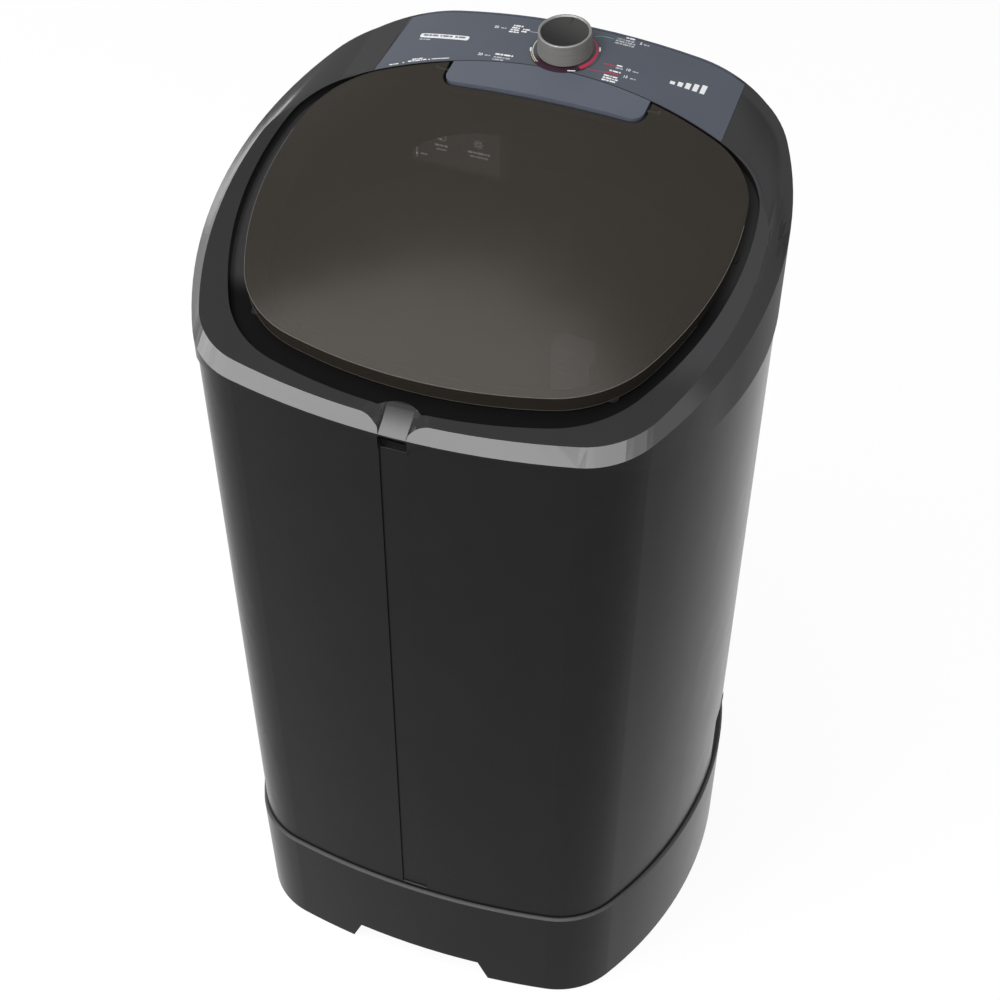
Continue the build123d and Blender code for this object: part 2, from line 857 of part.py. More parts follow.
def control_panel():
    """Blue-grey control panel, a thin crowned skin let into the rear deck."""
    skin = crown(crown_radius) - crown(crown_radius - panel_thickness + 0.02)
    skin = skin & panel_window(-panel_seam / 2)
    skin -= panel * cylinder(timer_shaft_diameter / 2 + 3, -30, 10, (0, dial_along))
    return skin


def hinge_cover_block(grow):
    """The rounded bar above the hinge, as deep as its seat allows."""
    half = plate_half_width + grow
    length = recess_back + 30 - plate_front
    bar = RectangleRounded(half * 2, length + 2 * grow, plate_corner)
    bar = Location((0, plate_front + length / 2, -40)) * extrude(bar, amount=140)
    bar = bar.moved(deck) & prism(recess.inset(fit_gap - grow).wire(), -40, 100).moved(deck)
    return bar & (crown(crown_radius + grow) - crown(crown_radius - plate_depth - grow))


def hinge_bore(radius, start, end):
    """A cylinder along the hinge axis between two places on the right."""
    place = Location(((start + end) / 2, hinge_along, hinge_rise), (0, 90, 0))
    return (place * Cylinder(radius, end - start)).moved(deck)


def hinge_cover():
    """Bare bar behind the lid that hides and holds the hinge pins."""
    bar = hinge_cover_block(0)
    for side in (-1, 1):
        start = plate_half_width - hinge_pin_grip
        end = plate_half_width + 5
        low, high = sorted((side * start, side * end))
        bar -= hinge_bore(hinge_pin_diameter / 2, low, high)
    return bar


def hinge_pins():
    """Two steel pins that the lid turns on."""
    pins = []
    start = plate_half_width - hinge_pin_grip
    end = plate_half_width + plate_gap + knuckle_length - 1
    for side in (-1, 1):
        low, high = sorted((side * start, side * end))
        pins.append(hinge_bore(hinge_pin_diameter / 2, low, high))
    return pins


def lid():
    """Smoked lid: a crowned plate with a short skirt and two hinge knuckles."""
    low = recess_floor + lid_skirt_gap
    body = prism(lid_plan.wire(), low, 80) & lid_dome(0)
    under = lid_dome(lid_wall)
    hollow = prism(lid_plan.inset(lid_wall).wire(), low - 5, 80) & under
    hollow += block((-300, lid_skirt_end, low - 5), (300, 300, 80)) & under
    shell = body - hollow
    half = plate_half_width + plate_gap
    front = plate_front - plate_gap
    cut = RectangleRounded(half * 2, 200, plate_corner + plate_gap)
    shell -= Location((0, front + 100, -20)) * extrude(cut, amount=140)
    for side in (-1, 1):
        start = side * half
        end = side * (half + knuckle_length)
        middle = (start + end) / 2
        place = Location((middle, hinge_along, hinge_rise), (0, 90, 0))
        shell += place * Cylinder(knuckle_diameter / 2, knuckle_length)
        shell -= place * Cylinder(hinge_pin_diameter / 2 + running_gap, knuckle_length + 1)
    return shell.moved(deck)


def lid_bumpers():
    """Small rubber pads on the recess floor that the lid's skirt comes down on."""
    ring = lid_plan.inset(lid_wall / 2)
    front, near, side, far, back = ring.centres()
    corner = near + unit(Vector(1, -1)) * ring.corners[0]
    spots = [(corner.X, corner.Y), (ring.width / 2, ring.widest)]
    spots += [(-x, y) for x, y in spots]
    height = lid_skirt_gap - fit_gap
    pads = []
    for x, y in spots:
        pad = cylinder(bumper_diameter / 2, recess_floor, recess_floor + height, (x, y))
        pads.append(pad.moved(deck))
    return pads


def tub():
    """Upright tub with a flange that hangs on the cabinet's shelf."""
    top = flange_low + tub_flange
    outline = [
        (0, tub_floor_height),
        (tub_floor_radius + tub_wall, tub_floor_height),
        (tub_top_radius + tub_wall, top),
        (tub_top_radius, top),
        (tub_floor_radius, floor_top),
        (0, floor_top),
    ]
    face = make_face(Polyline(*outline, close=True))
    corners = [vertex for vertex in face.vertices() if abs(vertex.X - tub_floor_radius - tub_wall / 2) < 4]
    face = fillet(corners, tub_floor_fillet * 0.8)
    vessel = revolve(Plane.XZ * face, Axis.Z)
    vessel = Location((0, tub_middle, 0)) * vessel
    flange = cabinet_body(-cabinet_wall - 1) & slab(flange_low, top)
    flange -= cylinder(tub_top_radius + 1, flange_low - 1, top + 1, (0, tub_middle))
    body = vessel + flange
    for x, y in boss_places():
        body += cylinder(boss_diameter / 2, tub_floor_height - boss_height, tub_floor_height + 1, (x, y))
        body -= cylinder(bolt_shank_diameter / 2, tub_floor_height - boss_height - 1, tub_floor_height - 6, (x, y))
    body -= cylinder(housing_bore, tub_floor_height - 1, floor_top + 1, (0, tub_middle))
    body -= cylinder(drain_pipe_outer - 2, tub_floor_height - 1, floor_top + 1, drain_place)
    for place in tub_screw_places():
        body -= cylinder(screw_shank_diameter / 2 + screw_clearance, flange_low - 1, top + 1, place)
    hole = (harness_corner[0], harness_corner[1])
    body -= cylinder(harness_diameter / 2 + 4, flange_low - 1, top + 1, hole)
    return body


housing_bore = 22.0
drain_pipe_outer = 14.0
drain_place = (120.0, 92.0)
harness_corner = (178.0, 186.0)


def boss_places():
    """Where the bosses under the tub carry the motor bracket."""
    return [(x * boss_spread_x, y * boss_spread_y + tub_middle) for x in (-1, 1) for y in (-1, 1)]


def tub_screw_places():
    """Where the tub's flange is screwed down to the cabinet's shelf."""
    height = flange_low
    share = (height - seat_height) / (rim_height - seat_height)
    half = (foot_width + (rim_width - 2 * skirt_proud - foot_width) * share) / 2 - 10
    return [(-half, 0), (half, 0), (-half + 8, 70), (half - 8, 70), (-half + 8, -70), (half - 8, -70)]


def tub_screws():
    """The screws of the tub's flange."""
    return [screw(Location((x, y, flange_low + tub_flange))) for x, y in tub_screw_places()]


def tub_gasket():
    """Soft ring between the tub's flange and the collar above it."""
    low = flange_low + tub_flange
    return tube(tub_top_radius + 12, tub_top_radius + cover_wall + 0.5, low, low + 3, (0, tub_middle))


def bearing_housing():
    """Turned housing under the tub that carries the upright shaft's bushes."""
    low = tub_floor_height - 96
    body = cylinder(housing_diameter / 2, low, tub_floor_height - 8)
    body += cylinder(housing_diameter / 2 + 14, tub_floor_height - 8, tub_floor_height)
    body += cylinder(housing_bore - fit_gap, tub_floor_height, floor_top + 4)
    for turn in range(6):
        rib = block((-2, housing_diameter / 2 - 2, tub_floor_height - 40), (2, housing_diameter / 2 + 12, tub_floor_height - 7))
        body += Location((0, 0, 0), (0, 0, turn * 60)) * rib
    bush = shaft_diameter / 2 + bush_wall
    body -= cylinder(shaft_diameter / 2 + 2, low - 1, floor_top + 5)
    body -= cylinder(bush, low - 1, low + bush_length)
    body -= cylinder(bush, floor_top + 4 - 10 - bush_length, floor_top + 5)
    return Location((0, tub_middle, 0)) * body


def bush(low):
    """A plain bush round the upright shaft."""
    outer = shaft_diameter / 2 + bush_wall
    inner = shaft_diameter / 2 + running_gap
    return tube(outer, inner, low, low + bush_length, (0, tub_middle))


def lower_bush():
    """The bush at the bottom of the bearing housing."""
    return bush(tub_floor_height - 96)


def upper_bush():
    """The bush just under the shaft seal."""
    return bush(floor_top + 4 - 10 - bush_length)


def shaft_seal():
    """Rubber lip seal above the upper bush."""
    low = floor_top + 4 - 9.8
    outer = shaft_diameter / 2 + bush_wall
    return tube(outer, shaft_diameter / 2 + running_gap, low, low + 9.6, (0, tub_middle))


def drive_shaft():
    """Steel shaft from the large pulley up to the impeller."""
    body = cylinder(shaft_diameter / 2, shaft_low, shaft_high, (0, tub_middle))
    body += cylinder(shaft_diameter / 2 - 3, shaft_high, shaft_high + shaft_stub, (0, tub_middle))
    edge = body.edges().group_by(Axis.Z)[0]
    return chamfer(edge, 1)


def impeller():
    """Shallow dished impeller with a domed hub and curved ribs."""
    low = floor_top + impeller_lift
    radius = impeller_diameter / 2
    outline = [
        (0, low),
        (radius, low),
        (radius, low + impeller_rim),
        (radius * 0.62, low + 8),
        (44, low + 14),
        (30, low + impeller_hub_height),
        (0, low + impeller_hub_height),
    ]
    face = make_face(Polyline(*outline, close=True))
    bends = [vertex for vertex in face.vertices() if 28 < vertex.X < radius - 1]
    face = fillet(bends, 9)
    body = revolve(Plane.XZ * face, Axis.Z)
    envelope = Location((0, 0, low)) * Cone(radius - 6, 40, impeller_rib_height * 1.6, align=(Align.CENTER, Align.CENTER, Align.MIN))
    for turn in range(impeller_rib_count):
        path = ThreePointArc((24, 0), (90, 16), (radius - 8, 0))
        rib = extrude(trace(path, 13), amount=impeller_rib_height)
        rib = Location((0, 0, low + 4)) * rib
        body += Location((0, 0, 0), (0, 0, turn * 360 / impeller_rib_count)) * (rib & envelope)
    bore = shaft_diameter / 2
    body -= cylinder(bore, low - 1, shaft_high)
    body -= cylinder(bore - 3 + running_gap, shaft_high - 1, low + impeller_hub_height + 1)
    return Location((0, tub_middle, 0)) * body


def impeller_cap():
    """Domed cap nut that holds the impeller on its shaft."""
    low = floor_top + impeller_lift + impeller_hub_height
    body = cylinder(17, low, low + 9, (0, tub_middle))
    body = fillet(body.edges().group_by(Axis.Z)[-1], 6)
    return body - cylinder(shaft_diameter / 2 - 3, low - 1, shaft_high + shaft_stub, (0, tub_middle))


def pulley(diameter, bore, height, middle, place):
    """A wheel with one V groove, seated round a shaft."""
    radius = diameter / 2
    low = middle - height / 2
    half_top = belt_width / 2 + 0.6
    depth = belt_depth + 2
    outline = [
        (bore, low),
        (radius, low),
        (radius, middle - half_top),
        (radius - depth, middle - half_top + depth * 0.32),
        (radius - depth, middle + half_top - depth * 0.32),
        (radius, middle + half_top),
        (radius, low + height),
        (bore, low + height),
    ]
    wheel = revolve(Plane.XZ * make_face(Polyline(*outline, close=True)), Axis.Z)
    return Location((place[0], place[1], 0)) * wheel


def drive_pulley():
    """Large pulley with six round lightening holes, fixed to the upright shaft."""
    place = (0, tub_middle)
    wheel = pulley(drive_pulley_diameter, shaft_diameter / 2, pulley_height, belt_plane, place)
    middle = belt_plane
    for side in (-1, 1):
        low, high = sorted((middle + side * 4, middle + side * 12))
        wheel -= tube(drive_pulley_diameter / 2 - 20, 24, low, high, place)
    for turn in range(6):
        angle = radians(turn * 60)
        spot = (cos(angle) * 50, sin(angle) * 50 + tub_middle)
        wheel -= cylinder(13, middle - 20, middle + 20, spot)
    return wheel


def pulley_nut():
    """Hexagon nut under the large pulley."""
    high = belt_plane - pulley_height / 2
    nut = Location((0, tub_middle, high - 8)) * extrude(RegularPolygon(11, 6), 8)
    return nut - cylinder(shaft_diameter / 2, high - 20, high + 1, (0, tub_middle))


motor_place = (motor_pitch, tub_middle)
bracket_top = tub_floor_height - boss_height
bracket_low = bracket_top - bracket_thickness
motor_top = bracket_low - grommet_height


def motor_bracket():
    """Pressed steel channel bolted under the tub, carrying the motor."""
    half_length = bracket_length / 2 + 20
    body = block((-half_length, tub_middle - bracket_width / 2, bracket_low), (half_length + 10, tub_middle + bracket_width / 2, bracket_top))
    for side in (-1, 1):
        inner = tub_middle + side * (bracket_width / 2 - bracket_thickness)
        outer = tub_middle + side * bracket_width / 2
        low, high = sorted((inner, outer))
        body += block((-half_length, low, bracket_low - 22), (half_length + 10, high, bracket_top))
    body -= cylinder(housing_diameter / 2 + 13, bracket_low - 1, bracket_top + 1, (0, tub_middle))
    for x, y in boss_places():
        body -= cylinder(bolt_shank_diameter / 2 + screw_clearance, bracket_low - 1, bracket_top + 1, (x, y))
    for x, y in motor_bolt_places():
        body -= cylinder(bolt_shank_diameter / 2 + screw_clearance, bracket_low - 1, bracket_top + 1, (x, y))
    return body


def motor_bolt_places():
    """Where the motor hangs from the bracket, on soft rings."""
    x, y = motor_place
    reach = motor_diameter / 2 - 14
    spots = []
    for turn in range(4):
        angle = radians(turn * 90 + 45)
        spots.append((x + reach * cos(angle), y + reach * sin(angle)))
    return spots


def tub_bolts():
    """Four bolts that hold the bracket to the tub's bosses."""
    return [bolt(Location((x, y, bracket_low), (180, 0, 0)), 25) for x, y in boss_places()]


def motor_bolts():
    """Four bolts through the bracket into the motor's end shield."""
    return [bolt(Location((x, y, bracket_top)), 22) for x, y in motor_bolt_places()]


def motor_grommets():
    """Rubber rings between the motor and its bracket."""
    inner = bolt_shank_diameter / 2 + screw_clearance
    return [tube(10, inner, motor_top, bracket_low, (x, y)) for x, y in motor_bolt_places()]


def motor_housing():
    """Motor body: two end shields round a hollow frame with cooling slots."""
    x, y = motor_place
    radius = motor_diameter / 2
    low = motor_top - motor_length
    body = cylinder(radius, low, motor_top)
    body = fillet(body.edges().group_by(Axis.Z)[0], 10)
    body = body - cylinder(radius - 12, low + 14, motor_top - 14)
    for turn in range(12):
        fin = block((radius - 5, -5, low + 20), (radius + 5, 5, motor_top - 24))
        body -= Location((0, 0, 0), (0, 0, turn * 30 + 15)) * fin
    body -= cylinder(motor_shaft_diameter / 2 + running_gap, low - 1, motor_top - 8)
    body = Location((x, y, 0)) * body
    for spot in motor_bolt_places():
        body -= cylinder(bolt_shank_diameter / 2, bracket_top - 23, motor_top + 1, spot)
    return body


def motor_rotor():
    """Rotor stack on the motor's shaft, which ends in the small pulley."""
    low = motor_top - motor_length
    body = cylinder(motor_shaft_diameter / 2, belt_plane - pulley_height / 2 - 3, motor_top - 8.5, motor_place)
    body += cylinder(motor_diameter / 2 - 16, low + 20, motor_top - 22, motor_place)
    return body


def motor_pulley():
    """Small pulley on the motor's shaft."""
    return pulley(motor_pulley_diameter, motor_shaft_diameter / 2, pulley_height, belt_plane, motor_place)


def drive_belt():
    """V belt round both pulleys, running just clear of their grooves."""
    gap = 0.6
    large = drive_pulley_diameter / 2 - belt_depth + gap
    small = motor_pulley_diameter / 2 - belt_depth + gap
    lean = acos((large - small) / motor_pitch)
    inner = belt_width / 2 - belt_depth * 0.32
    outer = belt_width / 2
    section = Polyline((0, -inner), (belt_depth, -outer), (belt_depth, outer), (0, inner), close=True)
    section_plane = Plane(origin=(-large, 0, 0), x_dir=(-1, 0, 0), z_dir=(0, -1, 0))
    face = section_plane * make_face(section)
    whole = sweep(face, path=belt_path(large, small, lean))
    return Location((0, tub_middle, belt_plane)) * whole


def belt_path(large, small, lean):
    """The belt's inner line, starting at the far left of the large pulley."""
    top = Vector(large * cos(lean), large * sin(lean))
    bottom = Vector(top.X, -top.Y)
    top_end = Vector(motor_pitch + small * cos(lean), small * sin(lean))
    bottom_end = Vector(top_end.X, -top_end.Y)
    sweep_angle = (pi + lean) / 2
    mid_low = Vector(large * cos(sweep_angle), -large * sin(sweep_angle))
    mid_high = Vector(mid_low.X, -mid_low.Y)
    edges = [
        ThreePointArc((-large, 0), mid_low, bottom),
        Line(bottom, bottom_end),
        ThreePointArc(bottom_end, (motor_pitch + small, 0), top_end),
        Line(top_end, top),
        ThreePointArc(top, mid_high, (-large, 0)),
    ]
    return Wire([edge.edge() for edge in edges])


def capacitor():
    """Run capacitor clipped under the bracket's other end."""
    x = -boss_spread_x + 62
    y = tub_middle
    high = bracket_low
    can = cylinder(capacitor_diameter / 2, high - capacitor_length, high, (x - 20, y))
    return fillet(can.edges().group_by(Axis.Z)[0], 3)


def capacitor_clip():
    """Spring band that holds the capacitor to the bracket."""
    x = -boss_spread_x + 42
    inner = capacitor_diameter / 2 + 0.1
    band = tube(inner + 1.5, inner, bracket_low - 24, bracket_low - 10, (x, tub_middle))
    strap = block((x - 4, tub_middle + inner + 1, bracket_low - 24), (x + 4, tub_middle + inner + 2.6, bracket_low))
    foot_tab = block((x - 4, tub_middle + inner + 1, bracket_low - 1.5), (x + 4, tub_middle + inner + 12, bracket_low))
    return band + strap + foot_tab


def dial_ring():
    """Printed ring round the dial, slightly raised."""
    ring = tube(dial_ring_diameter / 2, timer_shaft_diameter / 2 + 3, -6, 6, (0, dial_along))
    shell = crown(crown_radius + dial_ring_height) - crown(crown_radius + 0.02)
    return (panel * ring) & shell


def timer_knob():
    """Turning dial with a slightly flared side and a sunk top."""
    gap = dial_ring_height + 1.0
    outline = [
        (0, gap),
        (knob_base_diameter / 2, gap),
        (knob_top_diameter / 2, knob_height),
        (knob_top_diameter / 2 - knob_wall, knob_height),
        (knob_top_diameter / 2 - knob_wall - 1, knob_height - knob_cap_sink),
        (0, knob_height - knob_cap_sink),
    ]
    face = make_face(Polyline(*outline, close=True))
    rims = [vertex for vertex in face.vertices() if vertex.Y > knob_height - 0.1]
    face = fillet(rims, knob_wall * 0.45)
    body = revolve(Plane.XZ * face, Axis.Z)
    hollow = cylinder(knob_base_diameter / 2 - 4, gap - 1, knob_height - 9) - cylinder(8, gap - 1, knob_height)
    body = body - hollow
    body -= cylinder(timer_shaft_diameter / 2, gap - 1, 16)
    for turn in range(4):
        web = block((7, -1, gap + 3), (knob_base_diameter / 2 - 3, 1, knob_height - 8))
        body += Location((0, 0, 0), (0, 0, turn * 90 + 45)) * web
    return panel * (Location((0, dial_along, 0)) * body)


def knob_cap():
    """Dark disc set into the dial's top, with a raised pointer mark."""
    radius = knob_top_diameter / 2 - knob_wall - 1.3
    low = knob_height - knob_cap_sink
    disc = cylinder(radius, low, low + 1)
    disc += block((-1, radius - 9, low), (1, radius - 2, low + 1.5))
    return panel * (Location((0, dial_along, 0)) * disc)


def timer_shaft():
    """Steel spindle from the timer up into the dial."""
    high = 16.0
    low = -panel_thickness - cover_wall - 18
    body = cylinder(timer_shaft_diameter / 2, low, high)
    return panel * (Location((0, dial_along, 0)) * body)


def timer_body():
    """Clockwork timer under the control panel, hung from the deck by two posts."""
    width, length, height = timer_size
    high = -panel_thickness - cover_wall - 6
    case = block((-width / 2, -length / 2, high - height), (width / 2, length / 2, high))
    case = fillet(case.edges().filter_by(Axis.Z), 5)
    case = case + cylinder(12, high, high + 3)
    case -= cylinder(timer_shaft_diameter / 2 + running_gap, high - 13, high + 10)
    case -= block((-4, -4, high - 26), (4, 4, high - 13))
    for x in (-width / 2 + 8, width / 2 - 8):
        case += cylinder(5, high, high + 5.3, (x, 0))
    for row in range(4):
        tab_x = -18 + row * 12
        case += block((tab_x - 3, -2, high - height - 8), (tab_x + 3, -1.2, high - height + 1))
    return panel * (Location((0, dial_along, 0)) * case)


def tub_frame(shape):
    """Turn a shape about the tub to the place of the lint filter."""
    return Location((0, tub_middle, 0), (0, 0, filter_turn)) * shape


def tub_radius_at(height):
    """Inner radius of the tub at a height."""
    share = (height - floor_top) / (flange_low + tub_flange - floor_top)
    return tub_floor_radius + (tub_top_radius - tub_floor_radius) * share


def filter_housing():
    """Column on the tub's back wall that the lint filter slides into from above."""
    outer_half = filter_width / 2 + filter_wall + fit_gap
    front = tub_radius_at(filter_low) - filter_depth - 6
    column = block((-outer_half, front + 6, filter_low - 12), (outer_half, 260, filter_high - 26))
    inside = block((-filter_width / 2 - fit_gap, front, filter_low), (filter_width / 2 + fit_gap, front + 6 + filter_depth - 4, filter_high + 10))
    shape = column - inside
    wall = Location((0, 0, 0)) * cylinder(400, filter_low - 40, filter_high + 40) - tub_space(fit_gap)
    return tub_frame(shape) - wall


def tub_space(gap):
    """The tub's inner space, kept this far off its wall."""
    low, high = filter_low - 60, filter_high + 60
    low_radius = tub_radius_at(low) - gap
    high_radius = tub_radius_at(high) - gap
    middle = (0, tub_middle, (low + high) / 2)
    return Location(middle) * Cone(low_radius, high_radius, high - low)


def lint_filter():
    """Slide-in lint filter: a rounded frame with slots and a grip at the top."""
    front = tub_radius_at(filter_low) - filter_depth - 6 + 0.5
    half = filter_width / 2
    back = front + 6 + filter_depth - 4 - 1.3
    body = block((-half, front, filter_low + 1.0), (half, back, filter_high))
    body = fillet(body.edges().filter_by(Axis.Y), 9)
    body = body - block((-half + 4, front + 4, filter_low + 12), (half - 4, back + 5, filter_high - 16))
    for row in range(12):
        height = filter_low + 16 + row * 9.0
        body -= block((-half + 8, front - 5, height), (half - 8, front + 8, height + 4.5))
    body -= block((-13, front - 1, filter_high - 12), (13, front + 6, filter_high - 7))
    return tub_frame(body)


def dispenser_block(grow):
    """The rounded block that the dispenser tray fills, grown by a clearance."""
    half = dispenser_width / 2 + grow
    low = (dispenser_across - half, dispenser_front - label_thickness - 2 * grow, dispenser_low - grow)
    high = (dispenser_across + half, dispenser_front + dispenser_depth + grow, dispenser_low + dispenser_height + grow)
    if not grow:
        low = (low[0], dispenser_front, low[2])
    return fillet(block(low, high).edges().filter_by(Axis.Z), 8)


def dispenser():
    """Two-chamber tray for soap and softener, behind the back edge of the mouth."""
    half = dispenser_width / 2
    wall = dispenser_wall
    left = dispenser_across - half
    right = dispenser_across + half
    back = dispenser_front + dispenser_depth
    top = dispenser_low + dispenser_height
    inside = block((left + wall, dispenser_front + wall, dispenser_low + wall), (right - wall, back - wall, top + 5))
    inside = fillet(inside.edges().filter_by(Axis.Z), 6)
    divider = block((dispenser_across - 1, dispenser_front + 1, dispenser_low + 1), (dispenser_across + 1, back - 1, top - 8))
    body = dispenser_block(0) - inside + divider
    for side in (-1, 1):
        spot = (dispenser_across + side * half / 2, dispenser_front + dispenser_depth / 2)
        body -= cylinder(4, dispenser_low - 1, dispenser_low + 5, spot)
    return body


def level_label():
    """Thin label on the tray's front with the level marks and two symbols."""
    half = dispenser_width / 2 - 9
    front = dispenser_front - 0.02
    low = (dispenser_across - half, front - label_thickness, dispenser_low + 6)
    high = (dispenser_across + half, front, dispenser_low + dispenser_height - 6)
    return block(low, high)


def drain_elbow():
    """Drain pipe from the tub's floor to the spigot in the side recess."""
    x, y = drain_place
    points = [(x, y, tub_floor_height + 2), (x, y, drain_height), (alcove_flat + spigot_reach, drain_along, drain_height)]
    route = FilletPolyline(*points, radius=34)
    outer = sweep(Plane(origin=points[0], z_dir=(0, 0, -1)) * Circle(spigot_diameter / 2), path=route)
    inner = sweep(Plane(origin=points[0], z_dir=(0, 0, -1)) * Circle(spigot_bore / 2), path=route)
    collar_ring = cylinder(spigot_diameter / 2 + 7, tub_floor_height - 4, tub_floor_height, drain_place)
    bore = cylinder(spigot_bore / 2, tub_floor_height - 5, tub_floor_height + 1, drain_place)
    outer = outer - slab(tub_floor_height, 400)
    flange = Location((alcove_flat + 2, drain_along, drain_height), (0, 90, 0)) * Cylinder(spigot_diameter / 2 + 4, 3)
    return outer + collar_ring + flange - inner - bore


def drain_grate():
    """Slotted disc over the drain hole in the tub's floor."""
    x, y = drain_place
    disc = cylinder(26, floor_top + 0.02, floor_top + 2.5, drain_place)
    disc = disc + cylinder(drain_pipe_outer - 2.4, tub_floor_height + 0.5, floor_top + 1, drain_place)
    for row in range(5):
        offset = -12 + row * 6
        disc -= block((x - 9, y + offset - 1.2, tub_floor_height - 5), (x + 9, y + offset + 1.2, floor_top + 10))
    return disc


def wiring_harness():
    """Cable from the timer down the back corner to the motor."""
    start = timer_anchor()
    x, y = harness_corner
    end = (motor_place[0], motor_place[1] + motor_diameter / 2 + 3, motor_top - 30)
    points = [
        start,
        (start[0], start[1], start[2] - 40),
        (x, y, start[2] - 70),
        (x, y, motor_top - 30),
        end,
    ]
    route = FilletPolyline(*points, radius=harness_bend)
    section = Plane(origin=points[0], z_dir=(0, 0, -1)) * Circle(harness_diameter / 2)
    return sweep(section, path=route)


def timer_anchor():
    """The point just under the timer's tabs, in the machine's frame."""
    depth = -panel_thickness - cover_wall - 6 - timer_size[2] - 9
    spot = panel * Location((0, dial_along, depth))
    return (spot.position.X, spot.position.Y, spot.position.Z)


def write(name, shape):
    """Write one sub-part, a solid or a group of solids, to its own file."""
    solids = []
    for item in shape if isinstance(shape, list) else [shape]:
        solids.extend(item.solids())
    node = solids[0] if len(solids) == 1 else Compound(children=solids)
    node.label = name
    export_step(node, f"parts/{name}.step")
    print(name, len(solids), round(sum(solid.volume for solid in solids)))


def main():
    """Build every sub-part and write it."""
    os.makedirs("parts", exist_ok=True)
    makers = [
        base, rubber_feet, base_screws, cabinet_shell, rear_cover, rear_cover_screws, cord_gland,
        top_cover, cover_screws, control_panel, hinge_cover, hinge_pins, lid, lid_bumpers,
        tub, tub_screws, tub_gasket, bearing_housing, lower_bush, upper_bush, shaft_seal,
        drive_shaft, impeller, impeller_cap, drive_pulley, pulley_nut, motor_bracket, tub_bolts,
        motor_bolts, motor_grommets, motor_housing, motor_rotor, motor_pulley, drive_belt,
        capacitor, capacitor_clip, dial_ring, timer_knob, knob_cap, timer_shaft, timer_body,
        filter_housing, lint_filter, dispenser, level_label, drain_elbow, drain_grate, wiring_harness,
    ]
    for maker in makers:
        write(maker.__name__, maker())


if __name__ == "__main__":
    main()
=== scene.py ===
"""Looks of a single-tub washing machine: finishes, prints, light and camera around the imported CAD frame."""

import json
import math

import bmesh
import bpy
from bpy.props import FloatProperty, FloatVectorProperty, PointerProperty
from mathutils import Matrix, Vector


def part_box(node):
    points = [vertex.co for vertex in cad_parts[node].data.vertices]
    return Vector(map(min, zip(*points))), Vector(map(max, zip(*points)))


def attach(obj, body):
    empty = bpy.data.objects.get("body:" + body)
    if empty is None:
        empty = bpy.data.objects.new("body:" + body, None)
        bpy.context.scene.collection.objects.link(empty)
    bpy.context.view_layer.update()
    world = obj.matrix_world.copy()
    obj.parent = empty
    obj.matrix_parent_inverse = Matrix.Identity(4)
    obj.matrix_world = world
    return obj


bl_info = {
    "name": "Washing machine looks",
    "version": (1, 0, 0),
    "blender": (4, 5, 0),
    "location": "View3D > Sidebar > Washer",
    "description": "Finishes, printed marks and studio of a single-tub washing machine",
    "category": "Object",
}

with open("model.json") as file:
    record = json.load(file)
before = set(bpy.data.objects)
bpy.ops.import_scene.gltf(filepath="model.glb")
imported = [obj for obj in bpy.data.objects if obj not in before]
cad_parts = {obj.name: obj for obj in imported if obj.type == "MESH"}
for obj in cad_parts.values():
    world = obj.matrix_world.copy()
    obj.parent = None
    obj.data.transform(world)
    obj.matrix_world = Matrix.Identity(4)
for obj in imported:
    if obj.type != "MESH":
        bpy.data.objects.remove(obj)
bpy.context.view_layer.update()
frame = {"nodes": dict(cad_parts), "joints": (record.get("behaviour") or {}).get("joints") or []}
nodes = frame["nodes"]

MM = 0.001
ACROSS = Vector((1, 0, 0))
BACK = Vector((0, 1, 0))
UP = Vector((0, 0, 1))
DECK_SLOPE = math.radians(13.77)
DECK_HEIGHT = 0.9066
CROWN_RADIUS = 0.9
# Height of the base's upper ledge, which carries a painted highlight
BASE_LEDGE = 0.1462
# The fine lips on the lid, pale tubes that carry painted highlights along its edges: their radius, and how
# far back the upper and the lower one reach
LIP_RADIUS = 0.0003
UPPER_LIP_BACK = 0.06
LOWER_LIP_BACK = -0.06
# Colours of hidden metal and rubber, and the stretch of streaks drawn out along the upright axis
METAL_GREY = (0.5, 0.5, 0.5)
SHEET_GREY = (0.42, 0.42, 0.43)
RUBBER_BLACK = (0.02, 0.02, 0.02)
DRAWN = (1, 1, 0.1)
# Lengths in millimetres, as the prints are drawn
RING_LIFT = 0.6
LINE_WIDTH = 0.7
# How much larger a font's size is than its numerals
FONT_PER_DIGIT = 1.4
# The photograph's view: the turn from the front, the angle down from the level, the roll and the place
VIEW_ROUND = math.radians(21.3975)
VIEW_DOWN = math.radians(43.5362)
VIEW_ROLL = math.radians(-0.4213)
VIEW_PLACE = Vector((0.62931, -1.59049, 2.15703))
SENSOR_WIDTH = 36
# The floor's own glow, and the share of it where the camera, gloss or a clear part shows the floor
FLOOR_GLOW = 1.07
FLOOR_GLOW_SHARE = 0.86


def joint(name):
    """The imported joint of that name."""
    return next(j for j in frame["joints"] if j["name"] == name)


DIAL_CENTRE = Vector(joint("knob_turn")["pos_m"])
DIAL_UP = Vector(joint("knob_turn")["axis"])
DIAL_AWAY = DIAL_UP.cross(ACROSS)
DECK_UP = Vector((0, -math.sin(DECK_SLOPE), math.cos(DECK_SLOPE)))


def colour_setting(name, description, default):
    """A colour that a user of the panel can change."""
    return FloatVectorProperty(
        name=name, description=description, default=default, subtype="COLOR", min=0, max=1
    )


def length_setting(name, description, default):
    """A length in metres that a user of the panel can change."""
    return FloatProperty(
        name=name, description=description, default=default, unit="LENGTH", subtype="DISTANCE"
    )


def power_setting(name, description, default):
    """The power of a lamp that a user of the panel can change."""
    return FloatProperty(name=name, description=description, default=default, min=0, unit="POWER")


def light_setting(name, description, default):
    """A plain strength of light that a user of the panel can change."""
    return FloatProperty(name=name, description=description, default=default, min=0, subtype="FACTOR")


